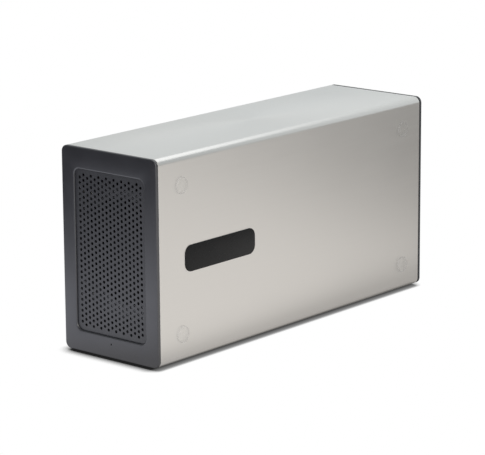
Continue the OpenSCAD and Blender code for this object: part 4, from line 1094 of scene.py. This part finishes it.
def contact_shadow(tree, rightward, camera_share):
    """1 on the open floor, and less close to the case."""
    occlusion = tree.nodes.new("ShaderNodeAmbientOcclusion")
    occlusion.samples = SHADOW_SAMPLES
    reach = between(tree, rightward, *SIDE_FROM, SHADOW_REACH, SIDE_SHADOW_REACH)
    reach = blend(tree, camera_share, REFLECTED_REACH, reach)
    tree.links.new(reach, occlusion.inputs["Distance"])
    depth = between(tree, rightward, *SIDE_FROM, 1 - SHADOW_FLOOR, 1 - SIDE_SHADOW_FLOOR)
    shadow = product(tree, depth, between(tree, occlusion.outputs["AO"], *SHADOW_RAMP, 1.0, 0.0))
    return between(tree, shadow, *FULL_SPAN, 1.0, 0.0)


def reflected_level(tree, where, rightward, ahead):
    """How bright reflections show each spot of the floor: a painted fall-off of light, painted
    shade close before the case, and painted shade on the floor to its right.
    """
    fall = None
    for direction, reach, levels in FLOOR_LEVELS:
        step = between(tree, along_direction(tree, where, direction), *reach, *levels)
        fall = step if fall is None else product(tree, fall, step)
    foot = computed(tree, "MAXIMUM", between(tree, ahead, *FOOT_REACH, FOOT_LEVEL, 1.0),
                    between(tree, rightward, *SIDE_REACH))
    side = between(tree, rightward, *SIDE_REACH, 1.0, SIDE_LEVEL)
    return product(tree, product(tree, fall, foot), side)


def floor_look():
    """Pale floor: white to the camera but for a painted contact shadow, and with painted light and
    shade in reflections.
    """
    look = bpy.data.materials.new("pale_floor")
    look.use_nodes = True
    tree = look.node_tree
    tree.nodes.remove(tree.nodes["Principled BSDF"])
    share, camera_share = seen_by(tree)
    where = tree.nodes.new("ShaderNodeTexCoord").outputs["Object"]
    rightward = along_direction(tree, where, RIGHT)
    ahead = along_direction(tree, where, AHEAD)
    reflected = reflected_level(tree, where, rightward, ahead)
    level = blend(tree, camera_share, reflected, 1.0)
    strength = product(tree, contact_shadow(tree, rightward, camera_share), level)
    cooled = mixed(tree, between(tree, ahead, *COOL_REACH), FLOOR_WARM, FLOOR_COOL)
    glow = tree.nodes.new("ShaderNodeEmission")
    tree.links.new(mixed(tree, camera_share, cooled, WHITE), glow.inputs["Color"])
    tree.links.new(strength, glow.inputs["Strength"])
    lit = tree.nodes.new("ShaderNodeBsdfDiffuse")
    lit.inputs["Color"].default_value = (FLOOR_ALBEDO, FLOOR_ALBEDO, FLOOR_ALBEDO, 1)
    mix = tree.nodes.new("ShaderNodeMixShader")
    for value, socket in zip((share, lit.outputs[0], glow.outputs[0]), mix.inputs):
        tree.links.new(value, socket)
    tree.links.new(mix.outputs[0], tree.nodes["Material Output"].inputs["Surface"])
    return look


def floor():
    """The plane that the case stands on."""
    bm = bmesh.new()
    bmesh.ops.create_grid(bm, x_segments=1, y_segments=1, size=FLOOR_SIZE / 2)
    mesh = bpy.data.meshes.new("floor")
    bm.to_mesh(mesh)
    bm.free()
    mesh.materials.append(floor_look())
    obj = bpy.data.objects.new("floor", mesh)
    obj.location = (0, 0, FLOOR_Z)
    scene.collection.objects.link(obj)


def world():
    """White to the camera; bright behind the case and dim before it in reflections; grey light."""
    scene.world = bpy.data.worlds.new("studio")
    scene.world.use_nodes = True
    tree = scene.world.node_tree
    back = tree.nodes["Background"]
    share, camera_share = seen_by(tree)
    where = tree.nodes.new("ShaderNodeTexCoord").outputs["Generated"]
    toward = along_direction(tree, where, Vector(SKY_TOWARD).normalized())
    sky = between(tree, toward, *SKY_REACH, SKY_DARK, SKY_BRIGHT)
    level = blend(tree, share, AMBIENT, blend(tree, camera_share, sky, 1.0))
    tree.links.new(level, back.inputs["Strength"])
    tree.links.new(mixed(tree, camera_share, SKY_COOL, WHITE), back.inputs["Color"])


def softbox(name, location, target, size, watts, colour):
    """A soft rectangular light that the camera doesn't see."""
    data = bpy.data.lights.new(name, "AREA")
    data.shape = "RECTANGLE"
    data.size, data.size_y = size
    data.energy = watts
    data.color = colour
    obj = bpy.data.objects.new(name, data)
    obj.location = location
    obj.rotation_mode = "QUATERNION"
    obj.rotation_quaternion = (Vector(target) - Vector(location)).to_track_quat("-Z", "Y")
    obj.visible_camera = False
    scene.collection.objects.link(obj)


floor()
world()
for light_name, light_values in SOFTBOXES.items():
    softbox(light_name, *light_values)


# Camera: fitted to the photograph's edges
CAMERA_AZIMUTH = math.radians(40.48)
CAMERA_ELEVATION = math.radians(13.51)
CAMERA_ROLL = math.radians(-0.37)
CAMERA_DISTANCE = 1.857
CAMERA_RIGHT = 0.0055
CAMERA_UP = 0.00744
CAMERA_LENS = 187.2
CAMERA_SENSOR = 36
CAMERA_CLIP = (0.05, 50)


def camera():
    """The camera, which looks at the middle of the case but for a small shift."""
    az, el, roll = CAMERA_AZIMUTH, CAMERA_ELEVATION, CAMERA_ROLL
    back = Vector((math.sin(az) * math.cos(el), -math.cos(az) * math.cos(el), math.sin(el)))
    right = Vector((math.cos(az), math.sin(az), 0))
    up = back.cross(right)
    tilted_right = math.cos(roll) * right + math.sin(roll) * up
    tilted_up = -math.sin(roll) * right + math.cos(roll) * up
    middle = Vector((CASE_X, CASE_Y + CASE_L / 2, CASE_Z + CASE_H / 2))
    data = bpy.data.cameras.new("camera")
    data.lens = CAMERA_LENS
    data.sensor_width = CAMERA_SENSOR
    data.clip_start, data.clip_end = CAMERA_CLIP
    obj = bpy.data.objects.new("camera", data)
    spot = middle + CAMERA_DISTANCE * back - CAMERA_RIGHT * tilted_right - CAMERA_UP * tilted_up
    turn = Matrix((tilted_right, tilted_up, back)).transposed().to_4x4()
    obj.matrix_world = Matrix.Translation(spot) @ turn
    scene.collection.objects.link(obj)
    scene.camera = obj


camera()
scene.view_settings.view_transform = "Standard"
